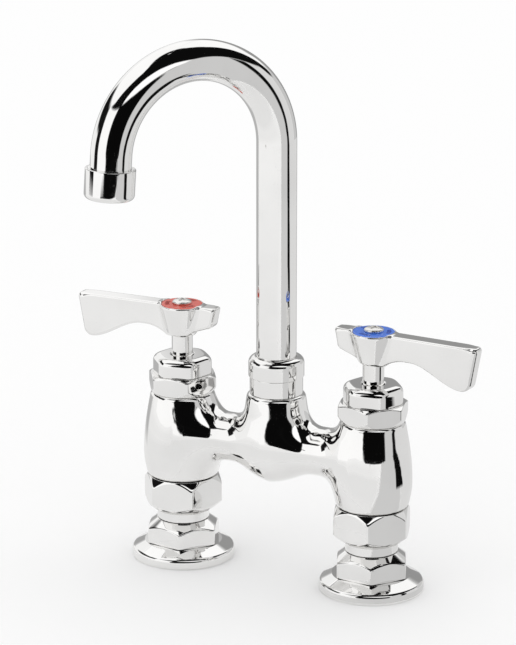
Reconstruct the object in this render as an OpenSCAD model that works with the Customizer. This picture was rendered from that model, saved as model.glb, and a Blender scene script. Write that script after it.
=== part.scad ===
// Deck-mounted twin-lever mixing tap with a swivelling gooseneck spout
// The origin lies on the deck, midway between the inlets: +X to the cold side, -Y to the front, +Z up

/* [Deck] */
// Distance between the hot and cold inlet axes
centres = 101.6; // [90:0.1:200]
// Thickness of the deck that the flanges and locknuts clamp
deck_t = 20; // [3:0.5:40]

/* [Inlet shank] */
// Diameter over the shank's mounting thread
shank_d = 22.4; // [19:0.05:26]
// Step from the mounting thread in to the supply thread at the shank's end
tail_step = 0.725; // [0.3:0.005:1.5]
// Bore of the shank
shank_bore_d = 13; // [8:0.1:15]
// Step from the thread out to the smooth collar
collar_step = 1.4; // [0.6:0.1:4]
// Length of collar that shows under the coupling nut
collar_show = 4.7; // [3:0.1:12]
// Gap between the collar and the flange nut
collar_gap = 0.2; // [0.1:0.1:5]
// Step from the collar out to the shank's head
head_step = 1.3; // [0.8:0.1:3]
// Thickness of the shank's head
head_t = 2.5; // [1.5:0.1:5]
// Length of the supply thread below the deck locknut
tail_l = 22; // [12:0.5:60]

/* [Deck flange] */
// Height of the flange's upright rim
flange_rim_h = 3.2; // [1.5:0.1:5]
// Radius of the round on the rim's upper edge
flange_round = 2.3; // [1:0.1:4]
// Height of the flange's flat seat above the deck
flange_h = 7.7; // [6.5:0.1:15]
// Width of the slope between the seat and the rim
flange_slope_w = 6.1; // [4:0.1:15]
// Width of the foot ring round the gasket
flange_foot_w = 3.4; // [2:0.1:5]
// Clearance of the shank in the flange, on the radius
flange_bore_gap = 0.4; // [0.1:0.1:1]
// Thickness of the gasket under the flange
flange_gasket_t = 3; // [1.5:0.1:4]
// Clearance of the shank in the gasket, on the radius
flange_gasket_gap = 1.5; // [0.2:0.1:4]

/* [Flange nut] */
// Wall of the flange nut from its thread to its flats
flange_nut_wall = 5.1; // [3:0.1:9]
// Height of the flange nut
flange_nut_h = 11.6; // [8:0.1:16]
// Width of the flange nut's upper face
flange_nut_face_w = 1.65; // [0.8:0.05:4]
// Height of the chamfers on the flange nut's lower and upper corners
flange_nut_chamfer = [0.4, 4.5]; // [0.3:0.1:6]
// Corner angle of the hot and the cold flange nut
flange_nut_yaw = [51.9, 55.5]; // [0:0.1:60]

/* [Deck fixing] */
// Thickness of the washer under the deck
washer_t = 2.5; // [1:0.1:5]
// Width of the washer's ring
washer_w = 9; // [5:0.1:15]
// Height of the locknut under the deck
locknut_h = 8; // [5:0.1:15]
// Wall of the locknut from its thread to its flats
locknut_wall = 4.6; // [3:0.1:9]
// Height of the chamfers on the locknut's corners
locknut_chamfer = 1.2; // [0.3:0.1:2]

/* [Coupling nut] */
// Height of the coupling nut
coupling_h = 17.4; // [14:0.1:25]
// Wall of the coupling nut from its thread to its flats
coupling_wall = 3.3; // [2:0.05:6]
// Thickness of the lip that holds the shank's head
coupling_lip_t = 2.6; // [1.5:0.1:4]
// Width of the coupling nut's lower and upper face
coupling_face_w = [1.3, 3.1]; // [0.8:0.1:5]
// Height of the chamfers on the coupling nut's lower and upper end
coupling_chamfer = [5, 4.1]; // [1:0.1:7]
// Thickness of the washer inside the coupling
union_t = 1.3; // [0.8:0.1:3]
// Corner angle of the hot and the cold coupling nut
coupling_yaw = [10.6, 49.5]; // [0:0.1:60]

/* [Body] */
// Height of each barrel
barrel_h = 42.4; // [38:0.1:60]
// Swell of the barrel's belly beyond its foot
belly_w = 1.8; // [0.5:0.1:5]
// Height of the belly's widest place above the foot
belly_h = 13.4; // [8:0.1:25]
// Rim of the barrel's top outside the bonnet gasket
barrel_rim = 1.9; // [1:0.1:4]
// Height of the bridge's axis above the barrel's foot
arm_h = 22.4; // [19:0.1:28]
// Diameter of the bridge's arms at their waist
arm_d = 23.4; // [20:0.1:30]
// Distance from a barrel's axis at which the arm ends inside it
arm_stop = 10; // [4:0.5:12]
// Flare of an arm at the barrel and at the boss
arm_flare = [3.7, 4]; // [0:0.1:5]
// Length of the arm's flare at the barrel and at the boss
arm_flare_l = [14, 24]; // [6:0.5:30]
// Diameter of the waterway through the bridge
waterway_d = 12; // [8:0.1:15]
// Height of the spout boss above the barrel's foot
boss_h = 48.4; // [46:0.1:70]
// Wall of the boss round its socket
boss_wall = 2.65; // [1.5:0.05:5]
// Depth of the boss's socket
socket_l = 14; // [11:0.1:16]
// Swell of the boss at the bridge's axis
boss_swell = 2.4; // [0:0.1:6]
// Drop of the boss's round bottom below the bridge's axis
boss_drop = 17; // [14:0.1:20]

/* [Valve] */
// Drop of the valve seat below the bridge's axis
seat_drop = 10; // [8:0.1:13]
// Bore of the inlet below the seat
inlet_d = 12; // [8:0.1:13]
// Height of the rubber seal on the seat
seal_h = 2.6; // [1.5:0.1:4]
// Diameter of the ceramic discs
disc_d = 16; // [14:0.1:18]
// Thickness of each ceramic disc
disc_t = 3; // [2.5:0.1:4]
// Solid ring round the ports of the fixed disc
port_rim = 1.5; // [0.8:0.1:2.5]
// Solid centre of the ceramic discs
port_hub_d = 4.4; // [3:0.1:6]
// Angle of each port in the ceramic discs
port_a = 70; // [40:1:80]
// Wall of the bonnet's cage round the discs
cage_wall = 1.5; // [1:0.1:2.5]
// Width of the cage's side windows
window_w = 8; // [4:0.1:11]
// Height of the cage's side windows
window_h = 9; // [4:0.1:11]
// Step from the cage out to the bonnet's thread
cage_step = 1.9; // [1:0.1:3]
// Length of the bonnet's thread
bonnet_thread_l = 10; // [6:0.1:12]
// Width of the bonnet gasket's ring
bonnet_gasket_w = 1.7; // [1:0.1:3]
// Thickness of the bonnet gasket
bonnet_gasket_t = 1.2; // [0.8:0.1:2.5]
// Height of the bonnet's hexagon
bonnet_h = 8.8; // [7:0.1:14]
// Overhang of the bonnet's flats over the barrel's top
bonnet_lap = 0.1; // [0:0.05:2]
// Height of the chamfers on the bonnet's lower and upper corners
bonnet_chamfer = [3.2, 1.4]; // [0.5:0.1:3.5]
// Corner angle of the hot and the cold bonnet
bonnet_yaw = [6.1, 44.7]; // [0:0.1:60]
// Depth of the stem's thrust shoulder below the barrel's top
shoulder_drop = 4; // [2:0.1:6]

/* [Packing nut] */
// Height of the packing nut
packing_nut_h = 9; // [8:0.1:14]
// Wall of the packing nut from its thread to its flats
packing_nut_wall = 2.55; // [1.5:0.05:6]
// Thickness of the packing nut's roof
packing_roof_t = 2.3; // [1.5:0.1:3.5]
// Radius of the round along the packing nut's upper edges
packing_round = 2.4; // [1:0.1:5]
// Depth to which the packing nut's corners are turned off
packing_corner = 1; // [0.2:0.1:1.4]
// Diameter of the countersink round the stem
packing_mouth_d = 12; // [12:0.1:15]
// Width of the packing's ring
packing_w = 3; // [1.5:0.1:4]
// Depth of the packing's seat in the bonnet
packing_h = 3; // [2:0.1:4]
// Wall of the bonnet's neck round the packing
neck_wall = 2.5; // [1.5:0.1:4]
// Corner angle of the hot and the cold packing nut
packing_nut_yaw = [15, 10.8]; // [0:0.1:60]

/* [Stem] */
// Diameter of the stem
stem_d = 10.1; // [8.5:0.1:11]
// Length of stem that shows under the handle
stem_show = 9.7; // [6:0.1:20]
// Step from the stem in to the tips of its splined end
spline_step = 0.6; // [0.3:0.1:1]
// Thickness of the stem's thrust collar
stem_collar_t = 2.5; // [1.5:0.1:3.5]
// Thickness of the washer above the thrust collar
stem_washer_t = 0.8; // [0.5:0.1:1.5]
// Section of the stem's O-ring
stem_ring_d = 1.6; // [1:0.1:2]
// Height of the stem's O-ring above the barrel's top
stem_ring_h = 2; // [1:0.1:4]
// Thickness of the plate that drives the moving disc
driver_t = 3; // [1.5:0.1:4]
// Width of the driver's tang
tang_w = 4; // [2:0.1:5]
// Depth of the driver's tang
tang_h = 1.5; // [0.8:0.1:1.8]

/* [Handle] */
// Height of the handle's hub
hub_h = 15.5; // [13.5:0.1:22]
// Diameter of the hub's top
hub_d = 21; // [18:0.1:28]
// Step from the stem out to the hub's foot
hub_foot_step = 1.7; // [0.7:0.05:3]
// Height of the hub's upright rim
hub_rim_h = 1.6; // [0.5:0.1:3]
// Distance from the stem's axis to the lever's tip
lever_reach = 54.6; // [44:0.1:90]
// Distance from the stem's axis to the end of the lever's tail
lever_tail = 19.2; // [15:0.1:30]
// Thickness of the lever's blade
lever_t = 8; // [5:0.1:11]
// Radius of the blade's upright edges at its tip and its tail
lever_round = 2.3; // [0.5:0.1:2.4]
// Height of the blade at its neck
neck_h = 11.6; // [8:0.1:13]
// Distance from the stem's axis at which the blade's root starts to run down to the hub's foot
root_l = 18; // [12:0.5:19.5]
// Distance from the stem's axis at which the blade starts to deepen towards its tip
neck_l = 20.5; // [20:0.5:28]
// Height of the blade at its tip
tip_h = 21.2; // [14:0.1:26]
// Lean of the tip's edge, in at the bottom
tip_lean = 2.7; // [0:0.1:6]
// Radius of the tip's upper and lower corner
tip_round = [2, 4.5]; // [0.5:0.1:5]
// Height of the tail's end
tail_h = 10.4; // [7:0.1:11]
// Lean of the tail's edge, in at the bottom
tail_lean = 1.4; // [0:0.1:4]
// Radius of the tail's upper and lower corner
tail_round = [1.2, 3]; // [0.5:0.1:3.5]
// Forward turn of a closed lever
lever_yaw = 2.5; // [0:0.5:10]

/* [Index disc and screw] */
// Thickness of the coloured index disc
index_t = 1.2; // [0.8:0.1:2]
// Rim of the hub round the index disc
index_rim = 0.6; // [0.4:0.1:2]
// Thickness of the hub's web under the index disc
web_t = 4; // [2.5:0.1:5]
// Diameter of the handle screw's thread
screw_d = 4; // [3:0.5:5]
// Length of the handle screw's thread inside the stem
screw_grip = 8; // [5:0.1:12]
// Diameter of the handle screw's head
screw_head_d = 9.2; // [7:0.1:12]
// Height of the handle screw's head
screw_head_h = 2.2; // [1.6:0.1:3]
// Height of the upright rim of the screw's head
screw_rim_h = 0.8; // [0.3:0.1:1.4]
// Width of the cross recess in the screw's head
cross_w = 1.2; // [0.8:0.1:2]
// Length of the cross recess in the screw's head
cross_l = 5; // [3:0.1:6]
// Depth of the cross recess in the screw's head
cross_h = 0.8; // [0.4:0.1:0.9]

/* [Spout] */
// Diameter of the spout's tube
spout_d = 19.05; // [16:0.05:25]
// Wall of the spout's tube
spout_wall = 1.2; // [0.8:0.05:2]
// Height of the bend's start above the boss
spout_rise = 121.6; // [60:0.1:250]
// Radius of the bend at the tube's axis
bend_r = 42.7; // [30:0.1:90]
// Angle of the bend
bend_a = 176; // [150:1:180]
// Swell of the tube round its bend, on the radius
bend_swell = 0.02; // [0.01:0.01:0.1]
// Length of the straight leg below the bend
leg_l = 12.6; // [9:0.1:40]
// Turn of the spout from the front toward the hot side
spout_yaw = 33.9; // [0:0.1:60]

/* [Spout swivel] */
// Height of the ring that shows on the boss
swivel_ring_h = 8.3; // [5:0.1:15]
// Overhang of the ring beyond the neck above it
swivel_ring_w = 1.2; // [0.4:0.1:3]
// Wall of the swivel collar's threaded foot
swivel_foot_wall = 1.6; // [1:0.05:3]
// Wall of the swivel collar's threaded neck
swivel_neck_wall = 1.9; // [1.4:0.05:3]
// Height of the spout nut
spout_nut_h = 9.8; // [8:0.1:16]
// Wall of the spout nut
spout_nut_wall = 1.75; // [1:0.05:4]
// Thickness of the spout nut's roof
spout_nut_roof_t = 2.2; // [1.5:0.1:3.5]
// Radius of the spout nut's upper edge
spout_nut_round = 3.2; // [0.5:0.1:3.4]
// Wall of the brass ferrule inside the tube
ferrule_wall = 1.7; // [1.2:0.05:2]
// Length of the ferrule inside the tube
ferrule_l = 8; // [4:0.1:15]
// Gap below the ferrule in the boss's socket
ferrule_gap = 2; // [0.5:0.1:3]
// Section of the spout's O-rings
spout_ring_d = 1.9; // [1.2:0.1:2.1]
// Height of the lower O-ring above the ferrule's end
spout_ring_h = 3; // [2:0.1:5]
// Distance between the spout's O-rings
spout_ring_pitch = 4; // [3:0.1:8]
// Thickness of the snap ring that holds the spout down
snap_t = 0.8; // [0.6:0.1:1.5]
// Depth of the snap ring's groove
snap_groove_h = 0.9; // [0.5:0.1:1.2]
// Clearance of the snap ring inside the spout nut, on the radius
snap_clear = 0.3; // [0.2:0.05:0.6]
// Opening of the snap ring
snap_gap_w = 4; // [2:0.1:8]
// Thickness of the plastic thrust washer under the snap ring
thrust_t = 0.7; // [0.5:0.1:1.5]

/* [Aerator] */
// Thickness of the threaded nozzle ring on the tube's end
nozzle_t = 1.05; // [0.8:0.05:2]
// Length of the nozzle ring
nozzle_l = 7; // [4:0.1:8.5]
// Wall of the aerator's housing
aerator_wall = 1; // [0.8:0.05:2]
// Height of the aerator's housing
aerator_h = 14.3; // [12:0.1:22]
// Radius of the housing's lower edge
aerator_round = 2.5; // [1:0.1:3]
// Width of the housing's lower face
aerator_face_w = 0.4; // [0.2:0.1:1]
// Thickness of the housing's inner lip
aerator_lip_t = 1.2; // [0.8:0.1:1.5]
// Thickness of the rubber washer above the insert
aerator_washer_t = 1.6; // [1:0.1:2.5]
// Diameter of the insert's holes
jet_d = 1.6; // [0.8:0.1:1.9]
// Distance between the insert's holes
jet_pitch = 2.5; // [2.1:0.1:4]

/* [Clearances] */
// Running clearance of a turning shaft, on the radius
run_gap = 0.06; // [0.02:0.01:0.1]
// Clearance of a thread, on the radius
thread_gap = 0.05; // [0.02:0.01:0.2]
// Clearance of a washer, seal or disc beside its seat
seat_gap = 0.1; // [0.05:0.01:0.3]
// Clearance between turning faces, along the axis
face_gap = 0.05; // [0.02:0.01:0.1]
// Clearance of the stem in the packing nut, on the radius
stem_clear = 0.4; // [0.3:0.05:0.6]

/* [Hidden] */
$fn = 96;
hot = -1;
cold = 1;
// Spare length of a cutting tool past the face that it cuts
cut = 1;
// Margin of a hexagon's chamfer past its corners
corner_gap = 0.05;
// Steps of a quarter round and of a longer curve
arc_steps = 6;
curve_steps = 14;

chrome = "gainsboro";
brass = "goldenrod";
rubber = "dimgray";
fibre = "firebrick";
white_plastic = "whitesmoke";
ceramic = "ivory";
steel = "silver";
index_colour = ["crimson", "royalblue"];

// Radii of the inlet, from the shank outwards
shank_r = shank_d / 2;
collar_r = shank_r + collar_step;
head_r = collar_r + head_step;
coupling_bore_r = head_r + seat_gap;
spigot_r = coupling_bore_r - thread_gap;
coupling_hole_r = collar_r + seat_gap;
coupling_low_r = coupling_hole_r + coupling_face_w[0];
foot_r = coupling_bore_r + coupling_face_w[1];
nut_bore_r = shank_r + thread_gap;
flange_nut_flat_r = nut_bore_r + flange_nut_wall;
flange_seat_r = flange_nut_flat_r / cos(30);
flange_r = flange_seat_r + flange_slope_w;
// Way from the centre of the rim's round to the seat's edge, and the angle where the slope meets the round
flange_slope = [flange_round - flange_slope_w, flange_h - flange_rim_h];
flange_round_a = atan2(flange_slope.y, flange_slope.x) - acos(min(1, flange_round / norm(flange_slope)));
recess_r = flange_r - flange_foot_w;

// Radii of the valve, from the discs and the stem outwards
disc_r = disc_d / 2;
cage_bore_r = disc_r + seat_gap;
cage_r = cage_bore_r + cage_wall;
bonnet_thread_r = cage_r + cage_step;
chamber_r = bonnet_thread_r + thread_gap;
bonnet_gasket_r = chamber_r + bonnet_gasket_w;
barrel_top_r = bonnet_gasket_r + barrel_rim;
bonnet_flat_r = barrel_top_r + bonnet_lap;
belly_r = foot_r + belly_w;
stem_r = stem_d / 2;
stem_bore_r = stem_r + run_gap;
stem_groove_r = stem_bore_r - stem_ring_d - 2 * face_gap;
spline_r = stem_r - spline_step;
packing_r = stem_bore_r + packing_w;
neck_r = packing_r + neck_wall;
packing_nut_bore_r = neck_r + thread_gap;
packing_nut_flat_r = packing_nut_bore_r + packing_nut_wall;

// Radii of the handle
hub_foot_r = stem_r + hub_foot_step;
hub_r = hub_d / 2;
index_r = hub_r - index_rim - seat_gap;
screw_r = screw_d / 2;

// Radii of the spout, from the tube outwards
spout_r = spout_d / 2;
spout_bore_r = spout_r - spout_wall;
ferrule_bore_r = spout_bore_r - ferrule_wall;
swivel_bore_r = spout_r + run_gap;
swivel_foot_r = swivel_bore_r + swivel_foot_wall;
swivel_neck_r = swivel_bore_r + swivel_neck_wall;
swivel_ring_r = swivel_neck_r + swivel_ring_w;
socket_r = swivel_foot_r + thread_gap;
boss_r = socket_r + boss_wall;
boss_swell_r = boss_r + boss_swell;
spout_nut_bore_r = swivel_neck_r + thread_gap;
spout_nut_r = spout_nut_bore_r + spout_nut_wall;
spout_groove_r = swivel_bore_r - spout_ring_d - 2 * face_gap;
snap_r = spout_nut_bore_r - snap_clear;
snap_groove_r = spout_r - snap_groove_h;
nozzle_r = spout_r + nozzle_t;
aerator_bore_r = nozzle_r + thread_gap;
aerator_r = aerator_bore_r + aerator_wall;
aerator_hole_r = aerator_r - aerator_round - aerator_face_w;
insert_r = aerator_bore_r - seat_gap;

// Heights, from the deck upwards
collar_z = flange_h + flange_nut_h + collar_gap;
coupling_z = collar_z + collar_show;
head_z = coupling_z + coupling_lip_t;
union_z = head_z + head_t;
spigot_z = union_z + union_t;
body_z = coupling_z + coupling_h;
arm_z = body_z + arm_h;
seat_z = arm_z - seat_drop;
fixed_disc_z = seat_z + seal_h;
moving_disc_z = fixed_disc_z + disc_t + face_gap;
driver_z = moving_disc_z + disc_t + face_gap;
bonnet_z = body_z + barrel_h;
shoulder_z = bonnet_z - shoulder_drop;
stem_washer_z = shoulder_z - face_gap - stem_washer_t;
stem_collar_z = stem_washer_z - face_gap - stem_collar_t;
packing_nut_z = bonnet_z + bonnet_h;
packing_roof_z = packing_nut_z + packing_nut_h - packing_roof_t;
neck_top_z = packing_roof_z - seat_gap;
packing_z = neck_top_z - packing_h;
stem_show_z = packing_nut_z + packing_nut_h;
hub_z = stem_show_z + stem_show;
hub_top_z = hub_z + hub_h;
index_z = hub_top_z - index_t;
stem_top_z = index_z - web_t - face_gap;
boss_z = body_z + boss_h;
socket_z = boss_z - socket_l;
ferrule_z = socket_z + ferrule_gap;
spout_nut_z = boss_z + swivel_ring_h;
spout_roof_z = spout_nut_z + spout_nut_h - spout_nut_roof_t;
snap_z = spout_roof_z - face_gap - snap_t;
thrust_z = snap_z - thrust_t;
swivel_neck_z = thrust_z - face_gap;
tube_z = spout_roof_z + spout_nut_roof_t / 2;
bend_z = boss_z + spout_rise;

// Depths, from the deck downwards
washer_z = -deck_t - washer_t;
locknut_z = washer_z - locknut_h;
tail_z = locknut_z - tail_l;

// Outlet: lengths along its axis from the end of the bend
end_a = 180 - bend_a;
aerator_z = leg_l - nozzle_l;
insert_z = leg_l + aerator_washer_t;
insert_h = aerator_z + aerator_h - aerator_lip_t - insert_z;

// Quarter of an ellipse that leaves the first point along the radius and reaches the second along the axis
function quarter(r0, z0, r1, z1) = [
    for (i = [0 : arc_steps])
        let (t = 90 * i / arc_steps)
        [r0 + (r1 - r0) * sin(t), z1 + (z0 - z1) * cos(t)]
];

// Arc of a circle in an outline, from one angle to another
function arc(centre, r, from_a, to_a) = [
    for (i = [0 : arc_steps])
        let (t = from_a + (to_a - from_a) * i / arc_steps)
        centre + r * [cos(t), sin(t)]
];

// The same points in the other order
function backwards(points) = [for (i = [len(points) - 1 : -1 : 0]) points[i]];

// Smooth step from 0 to 1
function ease(t) = t * t * (3 - 2 * t);

// The value of a pair that belongs to a side
function of_side(pair, side) = side == hot ? pair[0] : pair[1];

// Puts a piece on the valve axis of a side
module at_side(side) {
    translate([side * centres / 2, 0, 0]) children();
}

// Puts a piece in the plane of the gooseneck, whose X then points along the reach
module in_spout_plane() {
    rotate([0, 0, 270 - spout_yaw]) children();
}

// Puts a piece on the outlet's axis, whose Z then points along the flow
module at_outlet() {
    in_spout_plane()
        translate([bend_r, 0, bend_z])
        rotate([90, 0, 0])
        rotate([0, 0, end_a])
        translate([bend_r, 0, 0])
        rotate([90, 0, 0])
        children();
}

// Upright cylinder from a height
module column(r, z, h) {
    translate([0, 0, z]) cylinder(r = r, h = h);
}

// Flat ring between two radii
module ring(inner_r, outer_r, z, h) {
    translate([0, 0, z]) difference() {
        cylinder(r = outer_r, h = h);
        column(inner_r, -cut, h + 2 * cut);
    }
}

// Ring of round section
module o_ring(inner_r, section_d, z) {
    translate([0, 0, z])
        rotate_extrude()
        translate([inner_r + section_d / 2, 0])
        circle(r = section_d / 2, $fn = 32);
}

// Hexagon with chamfered ends: each end has its face's radius and its chamfer's height
module hexagon(flat_r, h, low_r, low_h, top_r, top_h) {
    corner_r = flat_r / cos(30);
    round_r = corner_r + corner_gap;
    intersection() {
        cylinder(r = corner_r, h = h, $fn = 6);
        rotate_extrude() polygon([
            [0, 0],
            [low_r, 0],
            [round_r, low_h],
            [round_r, h - top_h],
            [top_r, h],
            [0, h]
        ]);
    }
}

// Hexagon whose upper edges are rounded along its flats and whose corners are turned off
module crown(flat_r, h, round_r, corner) {
    intersection() {
        cylinder(r = flat_r / cos(30) - corner, h = h);
        rotate([0, 0, 30]) crown_bar(flat_r, h, round_r);
        rotate([0, 0, 90]) crown_bar(flat_r, h, round_r);
        rotate([0, 0, 150]) crown_bar(flat_r, h, round_r);
    }
}

// Bar between two opposite flats of a crowned hexagon
module crown_bar(flat_r, h, round_r) {
    rotate([90, 0, 0]) translate([0, 0, -2 * flat_r]) linear_extrude(4 * flat_r) polygon(concat(
        [[-flat_r, 0], [flat_r, 0]],
        arc([flat_r - round_r, h - round_r], round_r, 0, 90),
        arc([round_r - flat_r, h - round_r], round_r, 90, 180)
    ));
}

// Wedge on the axis, open toward +X
module wedge(r, angle, z, h) {
    translate([0, 0, z]) linear_extrude(h) polygon([
        [0, 0],
        2 * r * [cos(angle / 2), -sin(angle / 2)],
        2 * r * [cos(angle / 2), sin(angle / 2)]
    ]);
}

// Body casting

function barrel_profile() = concat(
    [[0, spigot_z], [spigot_r, spigot_z], [spigot_r, body_z]],
    [for (i = [0 : arc_steps])
        let (t = i / arc_steps)
        [foot_r + belly_w * sin(90 * t), body_z + belly_h * t]],
    [for (i = [1 : curve_steps])
        let (t = i / curve_steps)
        [
            barrel_top_r + (belly_r - barrel_top_r) * cos(90 * t),
            body_z + belly_h + (barrel_h - belly_h) * t
        ]],
    [[0, bonnet_z]]
);

// Radius of the bridge's arms at a distance from its middle
function arm_radius(x) =
    let (
        end_x = centres / 2 - arm_stop,
        s = max(0, (abs(x) - end_x + arm_flare_l[0]) / arm_flare_l[0]),
        t = max(0, (arm_flare_l[1] - abs(x)) / arm_flare_l[1])
    )
    arm_d / 2 + arm_flare[0] * s * s + arm_flare[1] * t * t;

module arms() {
    end_x = centres / 2 - arm_stop;
    translate([0, 0, arm_z]) rotate([0, 90, 0]) rotate_extrude() polygon(concat(
        [[0, -end_x]],
        [for (i = [-curve_steps : curve_steps])
            let (x = end_x * i / curve_steps)
            [arm_radius(x), x]],
        [[0, end_x]]
    ));
}

module boss() {
    rotate_extrude() polygon(concat(
        quarter(0, arm_z - boss_drop, boss_swell_r, arm_z),
        [for (i = [1 : arc_steps])
            let (t = i / arc_steps)
            [boss_r + boss_swell * cos(90 * t), arm_z + (boss_z - arm_z) * t]],
        [[0, boss_z]]
    ));
}

module barrel_bores() {
    column(inlet_d / 2, spigot_z - cut, seat_z - spigot_z + 2 * cut);
    column(chamber_r, seat_z, bonnet_z - seat_z + cut);
    column(bonnet_gasket_r, bonnet_z - bonnet_gasket_t, bonnet_gasket_t + cut);
}

module body_casting() {
    color(chrome) difference() {
        union() {
            for (side = [hot, cold]) at_side(side) rotate_extrude() polygon(barrel_profile());
            arms();
            boss();
        }
        for (side = [hot, cold]) at_side(side) barrel_bores();
        translate([-centres / 2, 0, arm_z]) rotate([0, 90, 0]) cylinder(r = waterway_d / 2, h = centres);
        column(waterway_d / 2, arm_z, socket_z - arm_z + cut);
        column(socket_r, socket_z, socket_l + cut);
    }
}

// Inlets and deck fixing

module deck_flange(side) {
    color(chrome) at_side(side) difference() {
        rotate_extrude() polygon(concat(
            [[0, 0], [flange_r, 0]],
            arc([flange_r - flange_round, flange_rim_h], flange_round, 0, flange_round_a),
            [[flange_seat_r, flange_h], [0, flange_h]]
        ));
        column(shank_r + flange_bore_gap, -cut, flange_h + 2 * cut);
        column(recess_r, -cut, flange_gasket_t + cut);
    }
}

module flange_gasket(side) {
    color(rubber) at_side(side)
        ring(shank_r + flange_gasket_gap, recess_r - seat_gap, 0, flange_gasket_t);
}

module flange_nut(side) {
    color(chrome) at_side(side) difference() {
        translate([0, 0, flange_h]) rotate([0, 0, of_side(flange_nut_yaw, side)]) hexagon(
            flange_nut_flat_r, flange_nut_h,
            flange_nut_flat_r, flange_nut_chamfer[0],
            nut_bore_r + flange_nut_face_w, flange_nut_chamfer[1]
        );
        column(nut_bore_r, flange_h - cut, flange_nut_h + 2 * cut);
    }
}

module inlet_shank(side) {
    color(chrome) at_side(side) difference() {
        union() {
            column(shank_r - tail_step, tail_z, union_z - tail_z);
            column(shank_r, locknut_z, union_z - locknut_z);
            column(collar_r, collar_z, union_z - collar_z);
            column(head_r, head_z, head_t);
        }
        column(shank_bore_d / 2, tail_z - cut, union_z - tail_z + 2 * cut);
    }
}

module deck_washer(side) {
    color(steel) at_side(side)
        ring(shank_r + flange_bore_gap, shank_r + flange_bore_gap + washer_w, washer_z, washer_t);
}

module deck_locknut(side) {
    color(brass) at_side(side) difference() {
        translate([0, 0, locknut_z]) hexagon(
            nut_bore_r + locknut_wall, locknut_h,
            nut_bore_r + locknut_wall, locknut_chamfer,
            nut_bore_r + locknut_wall, locknut_chamfer
        );
        column(nut_bore_r, locknut_z - cut, locknut_h + 2 * cut);
    }
}

module coupling_nut(side) {
    color(chrome) at_side(side) difference() {
        translate([0, 0, coupling_z]) rotate([0, 0, of_side(coupling_yaw, side)]) hexagon(
            coupling_bore_r + coupling_wall, coupling_h,
            coupling_low_r, coupling_chamfer[0],
            foot_r, coupling_chamfer[1]
        );
        column(coupling_hole_r, coupling_z - cut, coupling_lip_t + 2 * cut);
        column(coupling_bore_r, head_z, body_z - head_z + cut);
    }
}

module union_washer(side) {
    color(fibre) at_side(side) ring(shank_bore_d / 2, head_r, union_z, union_t);
}

// Valves

module seat_seal(side) {
    color(rubber) at_side(side) ring(inlet_d / 2, disc_r, seat_z, seal_h);
}

module fixed_disc(side) {
    color(ceramic) at_side(side) difference() {
        column(disc_r, fixed_disc_z, disc_t);
        for (turn = [90, 270]) rotate([0, 0, turn]) intersection() {
            ring(port_hub_d / 2, disc_r - port_rim, fixed_disc_z - cut, disc_t + 2 * cut);
            wedge(disc_r, port_a, fixed_disc_z - cut, disc_t + 2 * cut);
        }
    }
}

module moving_disc(side) {
    color(ceramic) at_side(side) difference() {
        column(disc_r - seat_gap, moving_disc_z, disc_t);
        for (turn = [0, 180]) rotate([0, 0, turn]) difference() {
            wedge(disc_r, port_a, moving_disc_z - cut, disc_t + 2 * cut);
            column(port_hub_d / 2, moving_disc_z - 2 * cut, disc_t + 4 * cut);
        }
        translate([-(tang_w / 2 + seat_gap), -disc_r, moving_disc_z + disc_t - tang_h])
            cube([tang_w + 2 * seat_gap, disc_d, tang_h + cut]);
    }
}

module bonnet_gasket(side) {
    color(fibre) at_side(side)
        ring(chamber_r, bonnet_gasket_r - seat_gap, bonnet_z - bonnet_gasket_t, bonnet_gasket_t);
}

module bonnet(side) {
    cage_z = seat_z + seat_gap;
    color(chrome) at_side(side) difference() {
        union() {
            translate([0, 0, bonnet_z]) rotate([0, 0, of_side(bonnet_yaw, side)]) hexagon(
                bonnet_flat_r, bonnet_h,
                bonnet_flat_r, bonnet_chamfer[0],
                bonnet_flat_r, bonnet_chamfer[1]
            );
            column(bonnet_thread_r, bonnet_z - bonnet_thread_l, bonnet_thread_l + cut);
            column(cage_r, cage_z, bonnet_z - cage_z);
            column(neck_r, bonnet_z, neck_top_z - bonnet_z);
        }
        column(cage_bore_r, cage_z - cut, shoulder_z - cage_z + cut);
        column(stem_bore_r, shoulder_z - cut, neck_top_z - shoulder_z + 2 * cut);
        column(packing_r, packing_z, packing_h + cut);
        translate([-chamber_r, -window_w / 2, moving_disc_z]) cube([2 * chamber_r, window_w, window_h]);
    }
}

module packing(side) {
    color(white_plastic) at_side(side)
        ring(stem_bore_r, packing_r - seat_gap, packing_z, packing_roof_z - packing_z);
}

module packing_nut(side) {
    hole_r = stem_r + stem_clear;
    color(chrome) at_side(side) difference() {
        translate([0, 0, packing_nut_z]) rotate([0, 0, of_side(packing_nut_yaw, side)])
            crown(packing_nut_flat_r, packing_nut_h, packing_round, packing_corner);
        column(packing_nut_bore_r, packing_nut_z - cut, packing_roof_z - packing_nut_z + cut);
        column(hole_r, packing_roof_z - cut, packing_roof_t + 2 * cut);
        translate([0, 0, stem_show_z - packing_mouth_d / 2 + hole_r])
            cylinder(r1 = hole_r, r2 = packing_mouth_d / 2, h = packing_mouth_d / 2 - hole_r);
    }
}

module stem(side) {
    color(chrome) at_side(side) difference() {
        union() {
            column(stem_r, driver_z, hub_z - driver_z);
            column(disc_r - seat_gap, driver_z, driver_t);
            translate([-tang_w / 2, -stem_r, driver_z - tang_h])
                cube([tang_w, stem_d, tang_h + driver_t / 2]);
            column(disc_r - seat_gap, stem_collar_z, stem_collar_t);
            translate([0, 0, hub_z]) spline(spline_r, stem_top_z - hub_z);
        }
        ring(stem_groove_r, stem_r + cut, bonnet_z + stem_ring_h, stem_ring_d + 2 * seat_gap);
        column(screw_r + thread_gap, stem_top_z - screw_grip - cut, screw_grip + 2 * cut);
    }
}

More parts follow.
